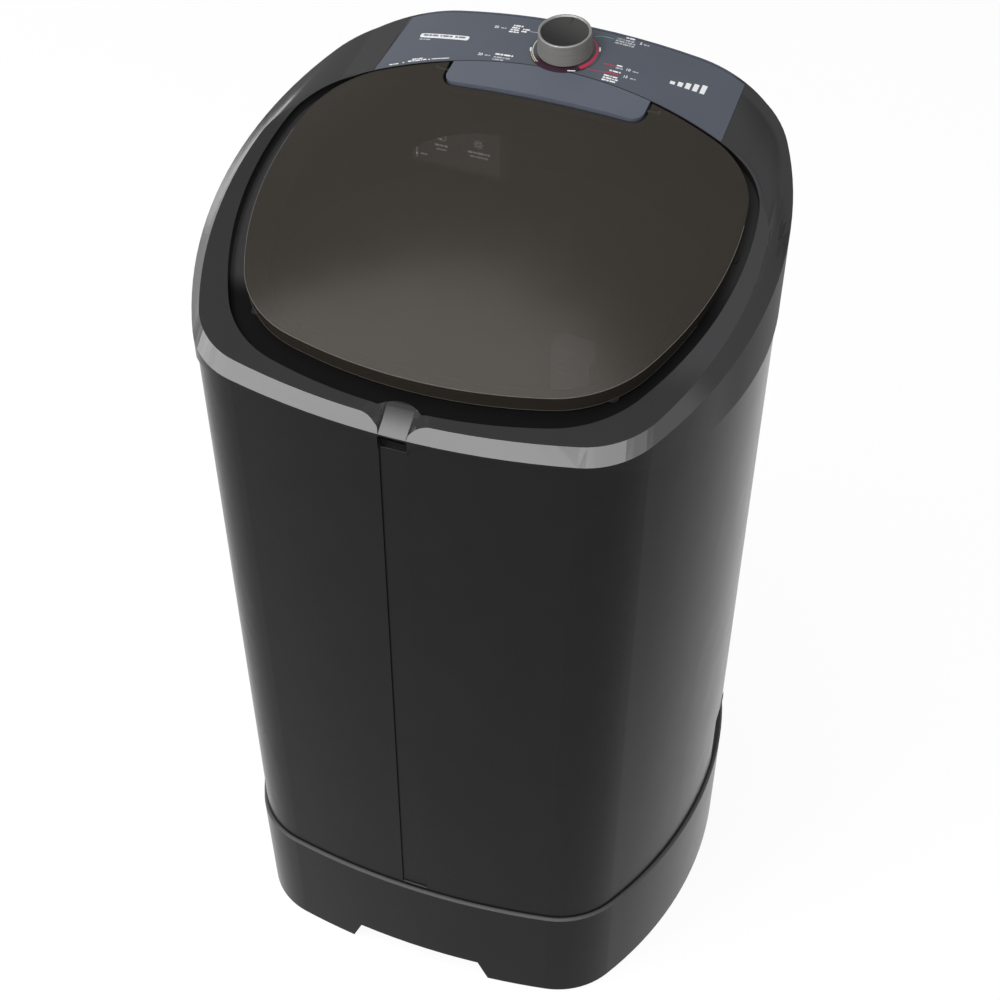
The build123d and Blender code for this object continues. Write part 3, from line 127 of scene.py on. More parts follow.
class WasherColours(bpy.types.PropertyGroup):
    """Colours of the machine's plastics, prints and metals."""

    body: colour_setting("Body black", "Glossy cabinet, base and cover", (0.0075, 0.0075, 0.008))
    deck: colour_setting("Deck black", "Satin plastic around the lid", (0.023, 0.023, 0.024))
    # The well's near-black is painted shade, darker than the deck's own black
    well: colour_setting("Well black", "Recess under the lid's edge", (0.004, 0.004, 0.004))
    panel: colour_setting("Panel blue-grey", "Control panel and bar above the hinge", (0.075, 0.085, 0.109))
    plum: colour_setting("Plum", "Dark zone of the dial's ring", (0.028, 0.008, 0.018))
    smoke: colour_setting("Smoked lid", "Tint of the see-through lid", (0.033, 0.0285, 0.0232))
    white_ink: colour_setting("White ink", "Marks on the panel", (0.78, 0.79, 0.8))
    grey_ink: colour_setting("Grey ink", "Small words on the panel", (0.42, 0.44, 0.47))
    crimson: colour_setting("Crimson ink", "Right arc around the dial", (0.5, 0.03, 0.07))
    cream: colour_setting("Cream ink", "Left arc around the dial", (0.6, 0.57, 0.4))
    teal: colour_setting("Teal ink", "Thin lead line at the dial's right", (0.16, 0.36, 0.36))
    knob: colour_setting("Knob grey", "Side of the dial", (0.17, 0.168, 0.16))
    tub: colour_setting("Tub grey", "Moulded tub and soap tray", (0.075, 0.074, 0.072))
    label: colour_setting("Label grey", "Level label on the tub's back wall", (0.3, 0.295, 0.3))
    impeller: colour_setting("Impeller grey", "Impeller and its cap", (0.13, 0.135, 0.14))
    filter: colour_setting("Filter blue", "Lint filter basket", (0.3, 0.32, 0.34))


class WasherSizes(bpy.types.PropertyGroup):
    """Sizes of the printed marks."""

    ink: length_setting("Ink height", "How far a print stands above its surface", 0.00014)
    digit: length_setting("Digit height", "Height of the minute numbers by the dial", 0.0037)
    word: length_setting("Word height", "Height of a line of small marks", 0.0021)
    ring: length_setting("Arc radius", "Radius of the coloured arcs around the dial", 0.0338)


class WasherStage(bpy.types.PropertyGroup):
    """Studio light, floor and camera."""

    overhead: power_setting("Overhead power", "Power of the wide lamp above", 14)
    key: power_setting("Key power", "Power of the small high lamp in front", 20)
    front: power_setting("Front power", "Power of the wide low lamp in front", 70)
    ambient: light_setting("Ambient", "Even light from all round", 0.3)
    ceiling: light_setting("Ceiling", "Brightness of the ceiling that gloss reflects", 0.3)
    floor: length_setting("Floor width", "Side of the pale floor", 14.0)
    lens: FloatProperty(name="Lens", description="Focal length of the camera", default=76.21, unit="CAMERA")


class WasherSettings(bpy.types.PropertyGroup):
    """All settings of the washing machine."""

    colours: PointerProperty(type=WasherColours)
    sizes: PointerProperty(type=WasherSizes)
    stage: PointerProperty(type=WasherStage)


class Value:
    """A number that changes over a surface. An expression on values adds its Math nodes."""

    def __init__(self, nodes, socket):
        self.nodes = nodes
        self.socket = socket

    def maths(self, operation, *terms):
        """One Math node on these terms."""
        return self.nodes.node("ShaderNodeMath", {"operation": operation}, dict(enumerate(terms)))

    def __add__(self, other):
        return self.maths("ADD", self, other)

    def __radd__(self, other):
        return self.maths("ADD", other, self)

    def __sub__(self, other):
        return self.maths("SUBTRACT", self, other)

    def __rsub__(self, other):
        return self.maths("SUBTRACT", other, self)

    def __mul__(self, other):
        return self.maths("MULTIPLY", self, other)

    def __rmul__(self, other):
        return self.maths("MULTIPLY", other, self)

    def __truediv__(self, other):
        return self.maths("DIVIDE", self, other)

    def __pow__(self, other):
        return self.maths("POWER", self, other)


class Nodes:
    """A node tree whose nodes are all added by one method."""

    def __init__(self, tree):
        self.tree = tree
        tree.nodes.clear()

    def add(self, kind, settings=None, inputs=None):
        """Adds a node with its settings, then its socket values or links."""
        node = self.tree.nodes.new(kind)
        for name, value in (settings or {}).items():
            setattr(node, name, value)
        for key, value in (inputs or {}).items():
            self.put(node.inputs[key], value)
        return node

    def node(self, kind, settings=None, inputs=None, output=0):
        """Adds a node and gives one of its outputs as a value."""
        return Value(self, self.add(kind, settings, inputs).outputs[output])

    def put(self, socket, value):
        """Links a value to a socket, or sets a plain number or colour on it."""
        if isinstance(value, Value):
            self.tree.links.new(value.socket, socket)
        elif socket.type == "RGBA":
            socket.default_value = (*value[:3], 1)
        else:
            socket.default_value = value

    def maximum(self, first, second):
        """The larger of two values."""
        return first.maths("MAXIMUM", first, second)

    def rays(self):
        """Three values, 1 for rays from the camera, from gloss and through clear parts, else 0."""
        paths = self.add("ShaderNodeLightPath").outputs
        names = ("Is Camera Ray", "Is Glossy Ray", "Is Transmission Ray")
        return [Value(self, paths[name]) for name in names]


class Finish(Nodes):
    """The nodes of one material around a Principled shader."""

    def __init__(self, name, **constants):
        self.material = bpy.data.materials.new(name)
        self.material.use_nodes = True
        super().__init__(self.material.node_tree)
        sockets = {name.replace("_", " "): value for name, value in constants.items()}
        self.shader = self.add("ShaderNodeBsdfPrincipled", {}, sockets)
        self.surface = self.add("ShaderNodeOutputMaterial").inputs[0]
        self.look = Value(self, self.shader.outputs[0])
        self.put(self.surface, self.look)
        self.place = self.node("ShaderNodeTexCoord", output="Object")

    def feed(self, name, value):
        """Sets or links one socket of the shader."""
        self.put(self.shader.inputs[name], value)

    def colour(self, value, glow=0.0):
        """Sets the base colour, which the surface also gives off where it glows, as painted light."""
        self.feed("Base Color", value)
        if glow:
            self.feed("Emission Color", value)

    def mix(self, share, first, second):
        """A colour between two colours."""
        return self.node("ShaderNodeMix", {"data_type": "RGBA"}, {0: share, 6: first, 7: second}, output=2)

    def stretched(self, stretch):
        """Coordinates scaled on each axis."""
        return self.node("ShaderNodeVectorMath", {"operation": "MULTIPLY"}, {0: self.place, 1: stretch})

    def noise(self, size, detail=2.0, stretch=(1, 1, 1)):
        """Soft noise from 0 to 1 whose blobs are about size metres wide."""
        inputs = {"Vector": self.stretched(stretch), "Scale": 1 / size, "Detail": detail, "Roughness": 0.5}
        return self.node("ShaderNodeTexNoise", {}, inputs)

    def cells(self, size):
        """Distance to the nearest of many scattered points, for pebbled grain."""
        return self.node("ShaderNodeTexVoronoi", {}, {"Vector": self.place, "Scale": 1 / size})

    def bands(self, direction, scale, distortion):
        """Soft parallel bands from 0 to 1."""
        inputs = {"Vector": self.place, "Scale": scale, "Distortion": distortion}
        return self.node("ShaderNodeTexWave", {"bands_direction": direction}, inputs)

    def share_of(self, vector, direction):
        """The part of a vector that lies along a direction."""
        operation = {"operation": "DOT_PRODUCT"}
        return self.node("ShaderNodeVectorMath", operation, {0: vector, 1: direction}, "Value")

    def along(self, direction, origin=Vector((0, 0, 0))):
        """Distance in metres from an origin along a direction."""
        offset = self.node("ShaderNodeVectorMath", {"operation": "SUBTRACT"}, {0: self.place, 1: origin})
        return self.share_of(offset, direction)

    def facets(self):
        """The plain normal of each facet."""
        return self.node("ShaderNodeNewGeometry", output="True Normal")

    def facing(self, direction):
        """How far each facet faces a direction, from -1 to 1."""
        return self.share_of(self.facets(), direction)

    def step(self, value, low, high):
        """A soft step from 0 at low to 1 at high."""
        inputs = {"Value": value, "From Min": low, "From Max": high}
        return self.node("ShaderNodeMapRange", {"interpolation_type": "SMOOTHSTEP"}, inputs)

    def relief(self, height, depth):
        """Raises the surface by depth metres where height is 1."""
        bump = {"Strength": 1.0, "Distance": depth, "Height": height}
        self.feed("Normal", self.node("ShaderNodeBump", {}, bump))

    def cover_with(self, share, sockets, kind="ShaderNodeBsdfPrincipled"):
        """Shows a second shader, given by its sockets, on a share of the surface."""
        second = self.node(kind, {}, sockets)
        self.look = self.node("ShaderNodeMixShader", {}, {0: share, 1: self.look, 2: second})
        self.put(self.surface, self.look)


def shade(colour, factor):
    """A colour made lighter or darker."""
    return tuple(min(1, c * factor) for c in colour[:3])


def moulded(name, colour, roughness, grain=0.0007, depth=0.00001, glow=0.0):
    """Moulded plastic: slow mottling, a fine pebbled grain and smudges of gloss, and a glow as painted light
    where one is given.
    """
    finish = Finish(name, IOR=1.4, Emission_Strength=glow)
    cloud = finish.noise(0.09, 4)
    fine = finish.noise(grain, 3)
    smudge = finish.noise(0.028, 5, (1, 1, 0.45))
    finish.colour(finish.mix(cloud * 0.7 + fine * 0.3, shade(colour, 0.9), shade(colour, 1.1)), glow)
    finish.feed("Roughness", roughness - 0.06 + smudge * 0.08 + fine * 0.04)
    finish.relief(fine, depth)
    return finish.material


def lacquered(name, colour, roughness, ior, ledge=None):
    """Glossy dark skin with faint waves, as on a thin wall, and a painted highlight on an upper ledge if it
    has one.
    """
    finish = Finish(name, IOR=ior)
    wave = finish.noise(0.055, 1, (1, 1, 0.4))
    dust = finish.step(finish.noise(0.0016, 3), 0.66, 0.8)
    smudge = finish.noise(0.04, 5)
    base = finish.mix(smudge, shade(colour, 0.85), shade(colour, 1.15))
    if ledge:
        # Painted highlight: faces that look upwards, from the ledge's height up, turn paler grey as if lit
        # from above
        rim = finish.step(finish.facing(UP), 0.2, 0.4) * finish.step(finish.along(UP), ledge - 0.001, ledge)
        base = finish.mix(rim, base, (0.085, 0.085, 0.086))
    finish.colour(finish.mix(dust * 0.04, base, (0.25, 0.25, 0.25)))
    finish.feed("Roughness", roughness - 0.03 + smudge * 0.06 + dust * 0.08)
    finish.relief(wave, 0.00012)
    return finish.material


def cover_plastic(name, colours):
    """The top cover: satin deck, polished bevel, glossy skirt and dull well, found by slope and place, with
    painted highlights on the crown, the right side end and the open sides of the well, and painted shade in
    the rest of the well.
    """
    finish = Finish(name, IOR=1.2)
    up = finish.facing(DECK_UP)
    height = finish.along(DECK_UP, Vector((0, 0, DECK_HEIGHT)))
    x = finish.along(ACROSS)
    y = finish.along(BACK)
    away = finish.along(DIAL_AWAY, DIAL_CENTRE)
    squared = x * x
    # Zones by slope: the deck and floors, then the slant of the bevel
    flat = finish.step(up, 0.86, 0.91)
    sloped = finish.step(up, 0.36, 0.44) * (1 - flat)
    # Zones by place: bevel, finger scoop, outer band, well, skirt, crown and the strip behind the panel
    side_end = finish.step(y, -0.16, -0.1) * finish.step(x, 0.1, 0.2)
    bevel = sloped * finish.step(height, -0.004, -0.001) * (1 - side_end)
    scoop = finish.step(y * -1, 0.236, 0.2375) * (1 - finish.step(squared, 0.0009, 0.0012)) * flat
    outer = finish.step((x / 0.27) ** 4 + (y / 0.25) ** 4, 0.82, 0.9)
    low = (1 - finish.step(height, -0.001, 0.0105)) * (1 - outer) * (1 - scoop)
    # Parts of the well at the left and further back at the right, which get painted light
    left_well = finish.step(x * -1, 0.05, 0.1) * finish.step(y, -0.15, -0.12)
    right_well = finish.step(x, 0.18, 0.22) * finish.step(y, -0.06, 0.02)
    painted_light_well = finish.maximum(left_well, right_well * 0.5)
    skirt_side = finish.step(squared, 0.07, 0.08) * (1 - finish.step(up, 0.2, 0.4))
    crown = finish.step(away, -0.17, -0.11)
    behind = finish.step(away, 0.03, 0.034) * (1 - finish.step(squared, 0.0335, 0.0345)) * flat
    # Colours and gloss
    grain = finish.noise(0.0008, 2)
    cloud = finish.noise(0.07, 4)
    satin = finish.mix(cloud, shade(colours.deck, 0.9), shade(colours.deck, 1.1))
    # Painted highlight: the crown and the right side end get a paler copy of the satin colour
    satin = finish.mix(finish.maximum(crown, side_end), satin, shade(colours.deck, 1.8))
    gloss = finish.mix(cloud, shade(colours.body, 0.85), shade(colours.body, 1.15))
    base = finish.mix(finish.maximum(flat, sloped * side_end), gloss, satin)
    # Painted light: these parts of the well are painted paler, against the shadow of the lid
    base = finish.mix(low * painted_light_well, base, shade(colours.deck, 1.8))
    film_colour = finish.mix(cloud, shade(colours.panel, 0.94), shade(colours.panel, 1.06))
    finish.colour(finish.mix(behind, base, film_colour))
    finish.feed("Roughness", 0.24 + flat * 0.2 + skirt_side * 0.22 + grain * 0.04)
    finish.relief(grain * flat, 0.000012)
    # The polished bevel, which fades down the scoop
    grit = {"Strength": 1.0, "Distance": 0.000002, "Height": grain, "Normal": finish.facets()}
    polish = finish.node("ShaderNodeBump", {}, grit)
    bright = {"Base Color": gloss, "IOR": 1.75, "Roughness": 0.16, "Normal": polish}
    shine = 0.04 + finish.step(height * -1, -0.012, -0.001) * 0.34
    finish.cover_with(bevel * (1 - scoop) + scoop * shine, bright)
    # The dull well around the lid, in a near-black colour that is painted shade under the lid's edge
    floor = finish.mix(cloud, shade(colours.well, 0.8), shade(colours.well, 1.2))
    finish.cover_with(low * (1 - painted_light_well), {"Base Color": floor, "IOR": 1.12, "Roughness": 0.5})
    return finish.material


def smoked_plastic(name, colours):
    """See-through smoked lid: a gloss skin over a thin brown tint."""
    finish = Finish(name, IOR=1.6, Specular_Tint=(1, 0.92, 0.86))
    cloud = finish.noise(0.12, 2)
    swirl = finish.noise(0.02, 5, (1, 0.5, 1))
    finish.colour(finish.mix(cloud, shade(colours.smoke, 0.92), shade(colours.smoke, 1.08)))
    finish.feed("Roughness", 0.12 + swirl * 0.05)
    finish.feed("Alpha", 0.64 + cloud * 0.03)
    finish.relief(cloud, 0.00006)
    return finish.material


def film(name, colour):
    """Printed blue-grey film over plastic, with a fine even texture."""
    finish = Finish(name, IOR=1.42)
    fine = finish.noise(0.0005, 2)
    cloud = finish.noise(0.05, 3)
    finish.colour(finish.mix(cloud, shade(colour, 0.94), shade(colour, 1.06)))
    finish.feed("Roughness", 0.34 + fine * 0.06 + cloud * 0.04)
    finish.relief(fine, 0.000008)
    return finish.material


def ring_print(name, colours):
    """The ring under the dial: panel colour that turns to plum at the front."""
    finish = Finish(name, IOR=1.42)
    away = finish.along(DIAL_AWAY, DIAL_CENTRE)
    across = finish.along(ACROSS, DIAL_CENTRE)
    fine = finish.noise(0.0004, 2)
    front = 1 - finish.step(away, -0.024, -0.012)
    side = finish.step(across, 0.012, 0.03) * finish.step(away, -0.03, -0.02)
    plum = finish.mix(fine, shade(colours.plum, 0.8), shade(colours.plum, 1.25))
    film_colour = finish.mix(fine, shade(colours.panel, 0.8), shade(colours.panel, 0.95))
    finish.colour(finish.mix(front * (1 - side * 0.5), film_colour, plum))
    finish.feed("Roughness", 0.34 + fine * 0.08)
    finish.relief(fine, 0.000006)
    return finish.material


def inked(name, colour, glow=0.0):
    """Screen-printed ink with faint gaps between its dots, and a glow as painted light where one is given."""
    finish = Finish(name, IOR=1.45, Emission_Strength=glow)
    dots = finish.cells(0.00035)
    worn = finish.step(finish.noise(0.004, 4), 0.62, 0.8)
    finish.colour(finish.mix(dots * 0.25 + worn * 0.2, colour, shade(colour, 0.72)), glow)
    finish.feed("Roughness", 0.42 + dots * 0.1)
    finish.relief(dots, 0.000006)
    return finish.material


def brushed_knob(name, colour):
    """Metallic paint of the dial: rings turned round its axis and a bright rim."""
    finish = Finish(name, IOR=1.45)
    height = finish.along(DIAL_UP, DIAL_CENTRE)
    turning = finish.noise(0.004, 3, (0.25, 0.25, 6))
    rim = finish.step(height, 0.0228, 0.0242)
    base = finish.mix(turning, shade(colour, 0.75), shade(colour, 1.3))
    finish.colour(finish.mix(rim, base, (0.3, 0.3, 0.29)))
    finish.feed("Metallic", 0.25 + rim * 0.3)
    finish.feed("Roughness", 0.36 + turning * 0.12 - rim * 0.1)
    finish.relief(turning, 0.00002)
    return finish.material


def knob_disc(name):
    """The dark hollow disc of the dial, with painted shade in its hollow and painted light towards the back.
    """
    finish = Finish(name, IOR=1.4)
    away = finish.along(DIAL_AWAY, DIAL_CENTRE)
    across = finish.along(ACROSS, DIAL_CENTRE)
    fine = finish.noise(0.0007, 3)
    # Painted light and shade: darkest at the front left, paler towards the back and right, as light falls
    # into the hollow
    paler = finish.step(away + across * 0.4, -0.026, 0.03)
    hollow, edge = (0.006, 0.006, 0.006), (0.05, 0.05, 0.049)
    finish.colour(finish.mix(paler * 0.9 + fine * 0.1, hollow, edge))
    finish.feed("Roughness", 0.34 + fine * 0.06)
    finish.relief(fine, 0.00001)
    return finish.material


def plated(name, colour, roughness=0.3, streak=(1, 1, 1)):
    """Zinc plate or ground steel: cloudy crystals and fine streaks."""
    finish = Finish(name)
    cloud = finish.noise(0.004, 4)
    streaks = finish.noise(0.0009, 3, streak)
    finish.feed("Metallic", 0.92 + cloud * 0.08)
    speckle = cloud * 0.6 + streaks * 0.4
    finish.colour(finish.mix(speckle, shade(colour, 0.8), shade(colour, 1.12)))
    finish.feed("Roughness", roughness - 0.06 + streaks * 0.14)
    finish.relief(streaks, 0.000012)
    return finish.material


def cast(name, colour):
    """Cast aluminium with a sandy skin."""
    finish = Finish(name)
    sand = finish.cells(0.0012)
    cloud = finish.noise(0.01, 4)
    finish.feed("Metallic", 0.85 + cloud * 0.1)
    finish.colour(finish.mix(cloud, shade(colour, 0.82), shade(colour, 1.08)))
    finish.feed("Roughness", 0.42 + sand * 0.16)
    finish.relief(sand, 0.00005)
    return finish.material


def rubbery(name, colour, streak=(1, 1, 1)):
    """Black rubber with a dull bloom."""
    finish = Finish(name, IOR=1.45)
    fine = finish.noise(0.0006, 3, streak)
    bloom = finish.noise(0.012, 5)
    finish.colour(finish.mix(bloom, shade(colour, 0.8), shade(colour, 1.5)))
    finish.feed("Roughness", 0.66 + fine * 0.16 + bloom * 0.06)
    finish.relief(fine, 0.00004)
    return finish.material


def sleeved(name, colour):
    """Woven sleeve of the wiring, a fine slanted braid."""
    finish = Finish(name, IOR=1.45)
    strands = finish.bands("DIAGONAL", 220, 1.5)
    finish.colour(finish.mix(strands, shade(colour, 0.5), shade(colour, 1.8)))
    finish.feed("Roughness", 0.55 + strands * 0.2)
    finish.relief(strands, 0.00015)
    return finish.material


def laminated(name, colour):
    """Stacked motor plates seen edge on."""
    finish = Finish(name)
    plates = finish.bands("Z", 320, 0.2)
    stain = finish.noise(0.008, 4)
    finish.feed("Metallic", 0.7 + plates * 0.2)
    finish.colour(finish.mix(plates * 0.6 + stain * 0.3, shade(colour, 0.45), shade(colour, 1.1)))
    finish.feed("Roughness", 0.4 + stain * 0.2)
    finish.relief(plates, 0.0001)
    return finish.material


def dress(names, material):
    """Puts one finish on every material slot of the CAD nodes named."""
    for name in names:
        node = nodes[name]
        if not node.material_slots:
            node.data.materials.append(material)
        for slot in node.material_slots:
            slot.material = material


def on_panel(u, v, lift):
    """The point over the crowned panel at u across and v away from the dial, in millimetres."""
    radius = CROWN_RADIUS + lift * MM
    turn = u * MM / CROWN_RADIUS
    sag = radius * math.cos(turn) - CROWN_RADIUS
    return DIAL_CENTRE + ACROSS * radius * math.sin(turn) + DIAL_AWAY * v * MM + DIAL_UP * sag


def on_label(u, v, lift):
    """The point in front of the level label at u from its left and v from its foot, in millimetres."""
    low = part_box("level_label")[0]
    return Vector((low.x + u * MM, low.y - lift * MM, low.z + v * MM))


def skin(shape, rows):
    """Joins rows of corners into one closed skin, with a face at each end."""
    count = len(rows[0])
    for first, second in zip(rows, rows[1:]):
        for k in range(count):
            after = (k + 1) % count
            shape.faces.new((first[k], second[k], second[after], first[after]))
    shape.faces.new(rows[0])
    shape.faces.new(reversed(rows[-1]))


class Print:
    """Closed thin ribbons and digits laid on one curved surface, drawn in millimetres."""

    def __init__(self, name, place, ink):
        self.name = name
        self.place = place
        self.ink = ink / MM
        self.shape = bmesh.new()

    def ribbon(self, line, widths, lift=0.0):
        """A ribbon along a line of points, as wide as given at each point."""
        points = [Vector(p) for p in line]
        if not isinstance(widths, (list, tuple)):
            widths = [widths] * len(points)
        rows = []
        for i, (point, width) in enumerate(zip(points, widths)):
            ahead = points[min(i + 1, len(points) - 1)] - points[max(i - 1, 0)]
            side = Vector((-ahead.y, ahead.x)).normalized() * width / 2
            left, right = point + side, point - side
            low, high = lift - self.ink, lift + self.ink
            corners = [(left, low), (right, low), (right, high), (left, high)]
            rows.append([self.shape.verts.new(self.place(p.x, p.y, z)) for p, z in corners])
        skin(self.shape, rows)

    def bar(self, u, v, length, height, lift=0.0, slope=0.0):
        """A straight bar with rounded ends, its left end at u."""
        round_end = min(height, length) * 0.3
        steps = [0, round_end / 2, round_end]
        steps += [round_end + (length - 2 * round_end) * k / 8 for k in range(1, 8)]
        steps += [length - round_end, length - round_end / 2, length]
        line = [(u + s * math.cos(slope), v + s * math.sin(slope)) for s in steps]
        widths = [height * 0.55, height * 0.86] + [height] * (len(steps) - 4) + [height * 0.86, height * 0.55]
        self.ribbon(line, widths, lift)

    def arc(self, radius, start, end, widths, lift=0.0):
        """Part of a circle round the dial, in degrees."""
        count = max(6, int(abs(end - start) / 4))
        angles = [math.radians(start + (end - start) * k / count) for k in range(count + 1)]
        line = [(radius * math.cos(a), radius * math.sin(a)) for a in angles]
        if isinstance(widths, tuple):
            widths = [widths[0] + (widths[1] - widths[0]) * k / count for k in range(count + 1)]
        self.ribbon(line, widths, lift)

    def words(self, u, v, length, height, slope=0.0, first=0, lift=0.0):
        """A line of small bars, spaced as words are."""
        letters = (5, 3, 7, 2, 6, 4)
        letter = height * 0.42
        gap = height * 0.35
        at = 0.0
        k = first
        while at < length - height:
            size = min(letters[k % len(letters)] * letter, length - at)
            self.bar(u + at * math.cos(slope), v + at * math.sin(slope), size, height, lift, slope)
            at += size + gap
            k += 1

    def digits(self, text, u, v, size):
        """Plain numerals, their left foot at u and v."""
        curve = bpy.data.curves.new(self.name + "_digits", "FONT")
        curve.body = text
        curve.size = size * FONT_PER_DIGIT
        curve.extrude = self.ink
        curve.offset = size * 0.02
        carrier = bpy.data.objects.new(curve.name, curve)
        flat = bpy.data.meshes.new_from_object(carrier)
        flat.transform(Matrix.Translation((u, v, 0)))
        for vertex in flat.vertices:
            vertex.co = self.place(*vertex.co)
        self.shape.from_mesh(flat)
        bpy.data.objects.remove(carrier)
        bpy.data.meshes.remove(flat)
        bpy.data.curves.remove(curve)

    def piece(self, material, body, slot):
        """Makes the object, with its finish and body; its slot argument is not used."""
        bmesh.ops.recalc_face_normals(self.shape, faces=self.shape.faces)
        return finished(self.name, self.shape, material, body)


def outline(name, up):
    """The edge of a node's upward face as a line of points, from the back at one side round to the other."""
    mesh = nodes[name].data
    matrix = nodes[name].matrix_world
    counts = {}
    for face in mesh.polygons:
        if face.normal.dot(up) > 0.9:
            corners = [tuple(round(c, 5) for c in matrix @ mesh.vertices[i].co) for i in face.vertices]
            for pair in zip(corners, corners[1:] + corners[:1]):
                key = tuple(sorted(pair))
                counts[key] = counts.get(key, 0) + 1
    points = {p for pair, count in counts.items() if count == 1 for p in pair}
    middle = sum((Vector(p) for p in points), Vector()) / len(points)
    around = sorted(points, key=lambda p: math.atan2(p[0] - middle.x, middle.y - p[1]))
    return [Vector(p) for p in around]


def tube(shape, line, radius):
    """Adds a closed round tube along a line of points."""
    turns = [math.tau * k / 6 for k in range(6)]
    rows = []
    for i, point in enumerate(line):
        ahead = (line[min(i + 1, len(line) - 1)] - line[max(i - 1, 0)]).normalized()
        side = ahead.cross(DECK_UP).normalized() * radius
        rise = side.cross(ahead).normalized() * radius
        rows.append([shape.verts.new(point + side * math.cos(t) + rise * math.sin(t)) for t in turns])
    skin(shape, rows)
    bmesh.ops.recalc_face_normals(shape, faces=shape.faces)


def placed(name, shape, material):
    """Turns a bmesh into an object of the scene with one finish."""
    mesh = bpy.data.meshes.new(name)
    shape.to_mesh(mesh)
    shape.free()
    piece = bpy.data.objects.new(name, mesh)
    bpy.context.scene.collection.objects.link(piece)
    mesh.materials.append(material)
    return piece


def finished(name, shape, material, body):
    """Turns a bmesh into a piece that rides on a body."""
    piece = placed(name, shape, material)
    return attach(piece, body)


class WASHER_OT_cabinet(bpy.types.Operator):
    """Finishes the cabinet, base, service cover, feet and gland."""

    bl_idname = "washer.cabinet"
    bl_label = "Cabinet and base"

    def execute(self, context):
        colours = context.scene.washer.colours
        # The paler upper ledges of the cabinet and the base are painted highlights
        dress(["cabinet_shell"], lacquered("cabinet_black", colours.body, 0.22, 1.185, BASE_LEDGE + 0.004))
        dress(["base"], lacquered("base_black", shade(colours.body, 1.1), 0.24, 1.17, BASE_LEDGE))
        dress(["rear_cover"], moulded("service_cover_black", colours.deck, 0.45, grain=0.0012, depth=0.00005))
        dress(["rubber_feet", "cord_gland"], rubbery("foot_rubber", RUBBER_BLACK))
        return {"FINISHED"}


class WASHER_OT_cover(bpy.types.Operator):
    """Finishes the top cover, control panel, dial ring and the bar above the hinge."""

    bl_idname = "washer.cover"
    bl_label = "Top cover and panel"

    def execute(self, context):
        colours = context.scene.washer.colours
        dress(["top_cover"], cover_plastic("cover_black", colours))
        dress(["control_panel"], film("panel_film", colours.panel))
        # The bar has the panel's film, made paler as painted light
        dress(["hinge_cover"], film("bar_film_painted_light", shade(colours.panel, 1.22)))
        dress(["dial_ring"], ring_print("ring_print", colours))
        return {"FINISHED"}


class WASHER_OT_lid(bpy.types.Operator):
    """Finishes the smoked lid, its bumpers and hinge pins."""

    bl_idname = "washer.lid"
    bl_label = "Lid"

    def execute(self, context):
        colours = context.scene.washer.colours
        dress(["lid"], smoked_plastic("smoked_plastic", colours))
        dress(["lid_bumpers"], rubbery("bumper_rubber", (0.005, 0.005, 0.005)))
        dress(["hinge_pins"], moulded("hinge_pin_black", (0.012, 0.012, 0.012), 0.4))
        edge = outline("lid", DECK_UP)
        front = [p for p in edge if p.y < UPPER_LIP_BACK]
        # Painted highlights: pale lips along the lid's upper front edge and along the foot of its skirt
        self.lip("lid_edge_lip", front, moulded("lid_lip_painted_highlight", (0.14, 0.135, 0.125), 0.2))
        foot = min(vertex.co.dot(DECK_UP) for vertex in nodes["lid"].data.vertices)
        low = [p - DECK_UP * (p.dot(DECK_UP) - foot) for p in front if p.y < LOWER_LIP_BACK]
        self.lip("lid_skirt_lip", low, moulded("skirt_lip_painted_highlight", shade(colours.smoke, 2.5), 0.25))
        return {"FINISHED"}

    def lip(self, name, line, material):
        """A fine rounded lip along an edge of the lid, whose pale colour is a painted highlight."""
        shape = bmesh.new()
        tube(shape, line, LIP_RADIUS)
        finished(name, shape, material, "lid")


class WASHER_OT_dial(bpy.types.Operator):
    """Finishes the dial, its cap, spindle and timer."""

    bl_idname = "washer.dial"
    bl_label = "Dial"

    def execute(self, context):
        colours = context.scene.washer.colours
        dress(["timer_knob"], brushed_knob("knob_paint", colours.knob))
        dress(["knob_cap"], knob_disc("knob_disc_black"))
        dress(["timer_shaft"], plated("spindle_steel", METAL_GREY, 0.25, DRAWN))
        dress(["timer_body"], moulded("timer_case", (0.35, 0.34, 0.31), 0.5))
        return {"FINISHED"}


class WASHER_OT_wash_parts(bpy.types.Operator):
    """Finishes the tub, impeller, filter, tray, label, seals and drain."""

    bl_idname = "washer.wash_parts"
    bl_label = "Tub and wash parts"

    def execute(self, context):
        colours = context.scene.washer.colours
        dress(["tub"], moulded("tub_plastic", colours.tub, 0.34, grain=0.001, depth=0.00003))
        dress(["filter_housing", "dispenser"], moulded("tray_plastic", shade(colours.tub, 3.4), 0.36))
        dress(["impeller"], moulded("impeller_plastic", colours.impeller, 0.3))
        dress(["impeller_cap"], moulded("impeller_cap_plastic", shade(colours.impeller, 0.6), 0.28))
        # Painted light: the lint filter glows a little, as if lit inside the tub
        dress(["lint_filter"], moulded("filter_plastic", colours.filter, 0.4, glow=0.2))
        dress(["drain_grate"], moulded("grate_plastic", shade(colours.tub, 1.2), 0.4))
        dress(["drain_elbow"], moulded("drain_plastic", (0.05, 0.05, 0.052), 0.42))
        # Painted light: the label glows a little, as if lit through the lid
        dress(["level_label"], moulded("label_film", colours.label, 0.4, glow=0.18))
        dress(["tub_gasket", "shaft_seal"], rubbery("gasket_rubber", (0.04, 0.04, 0.04)))
        return {"FINISHED"}


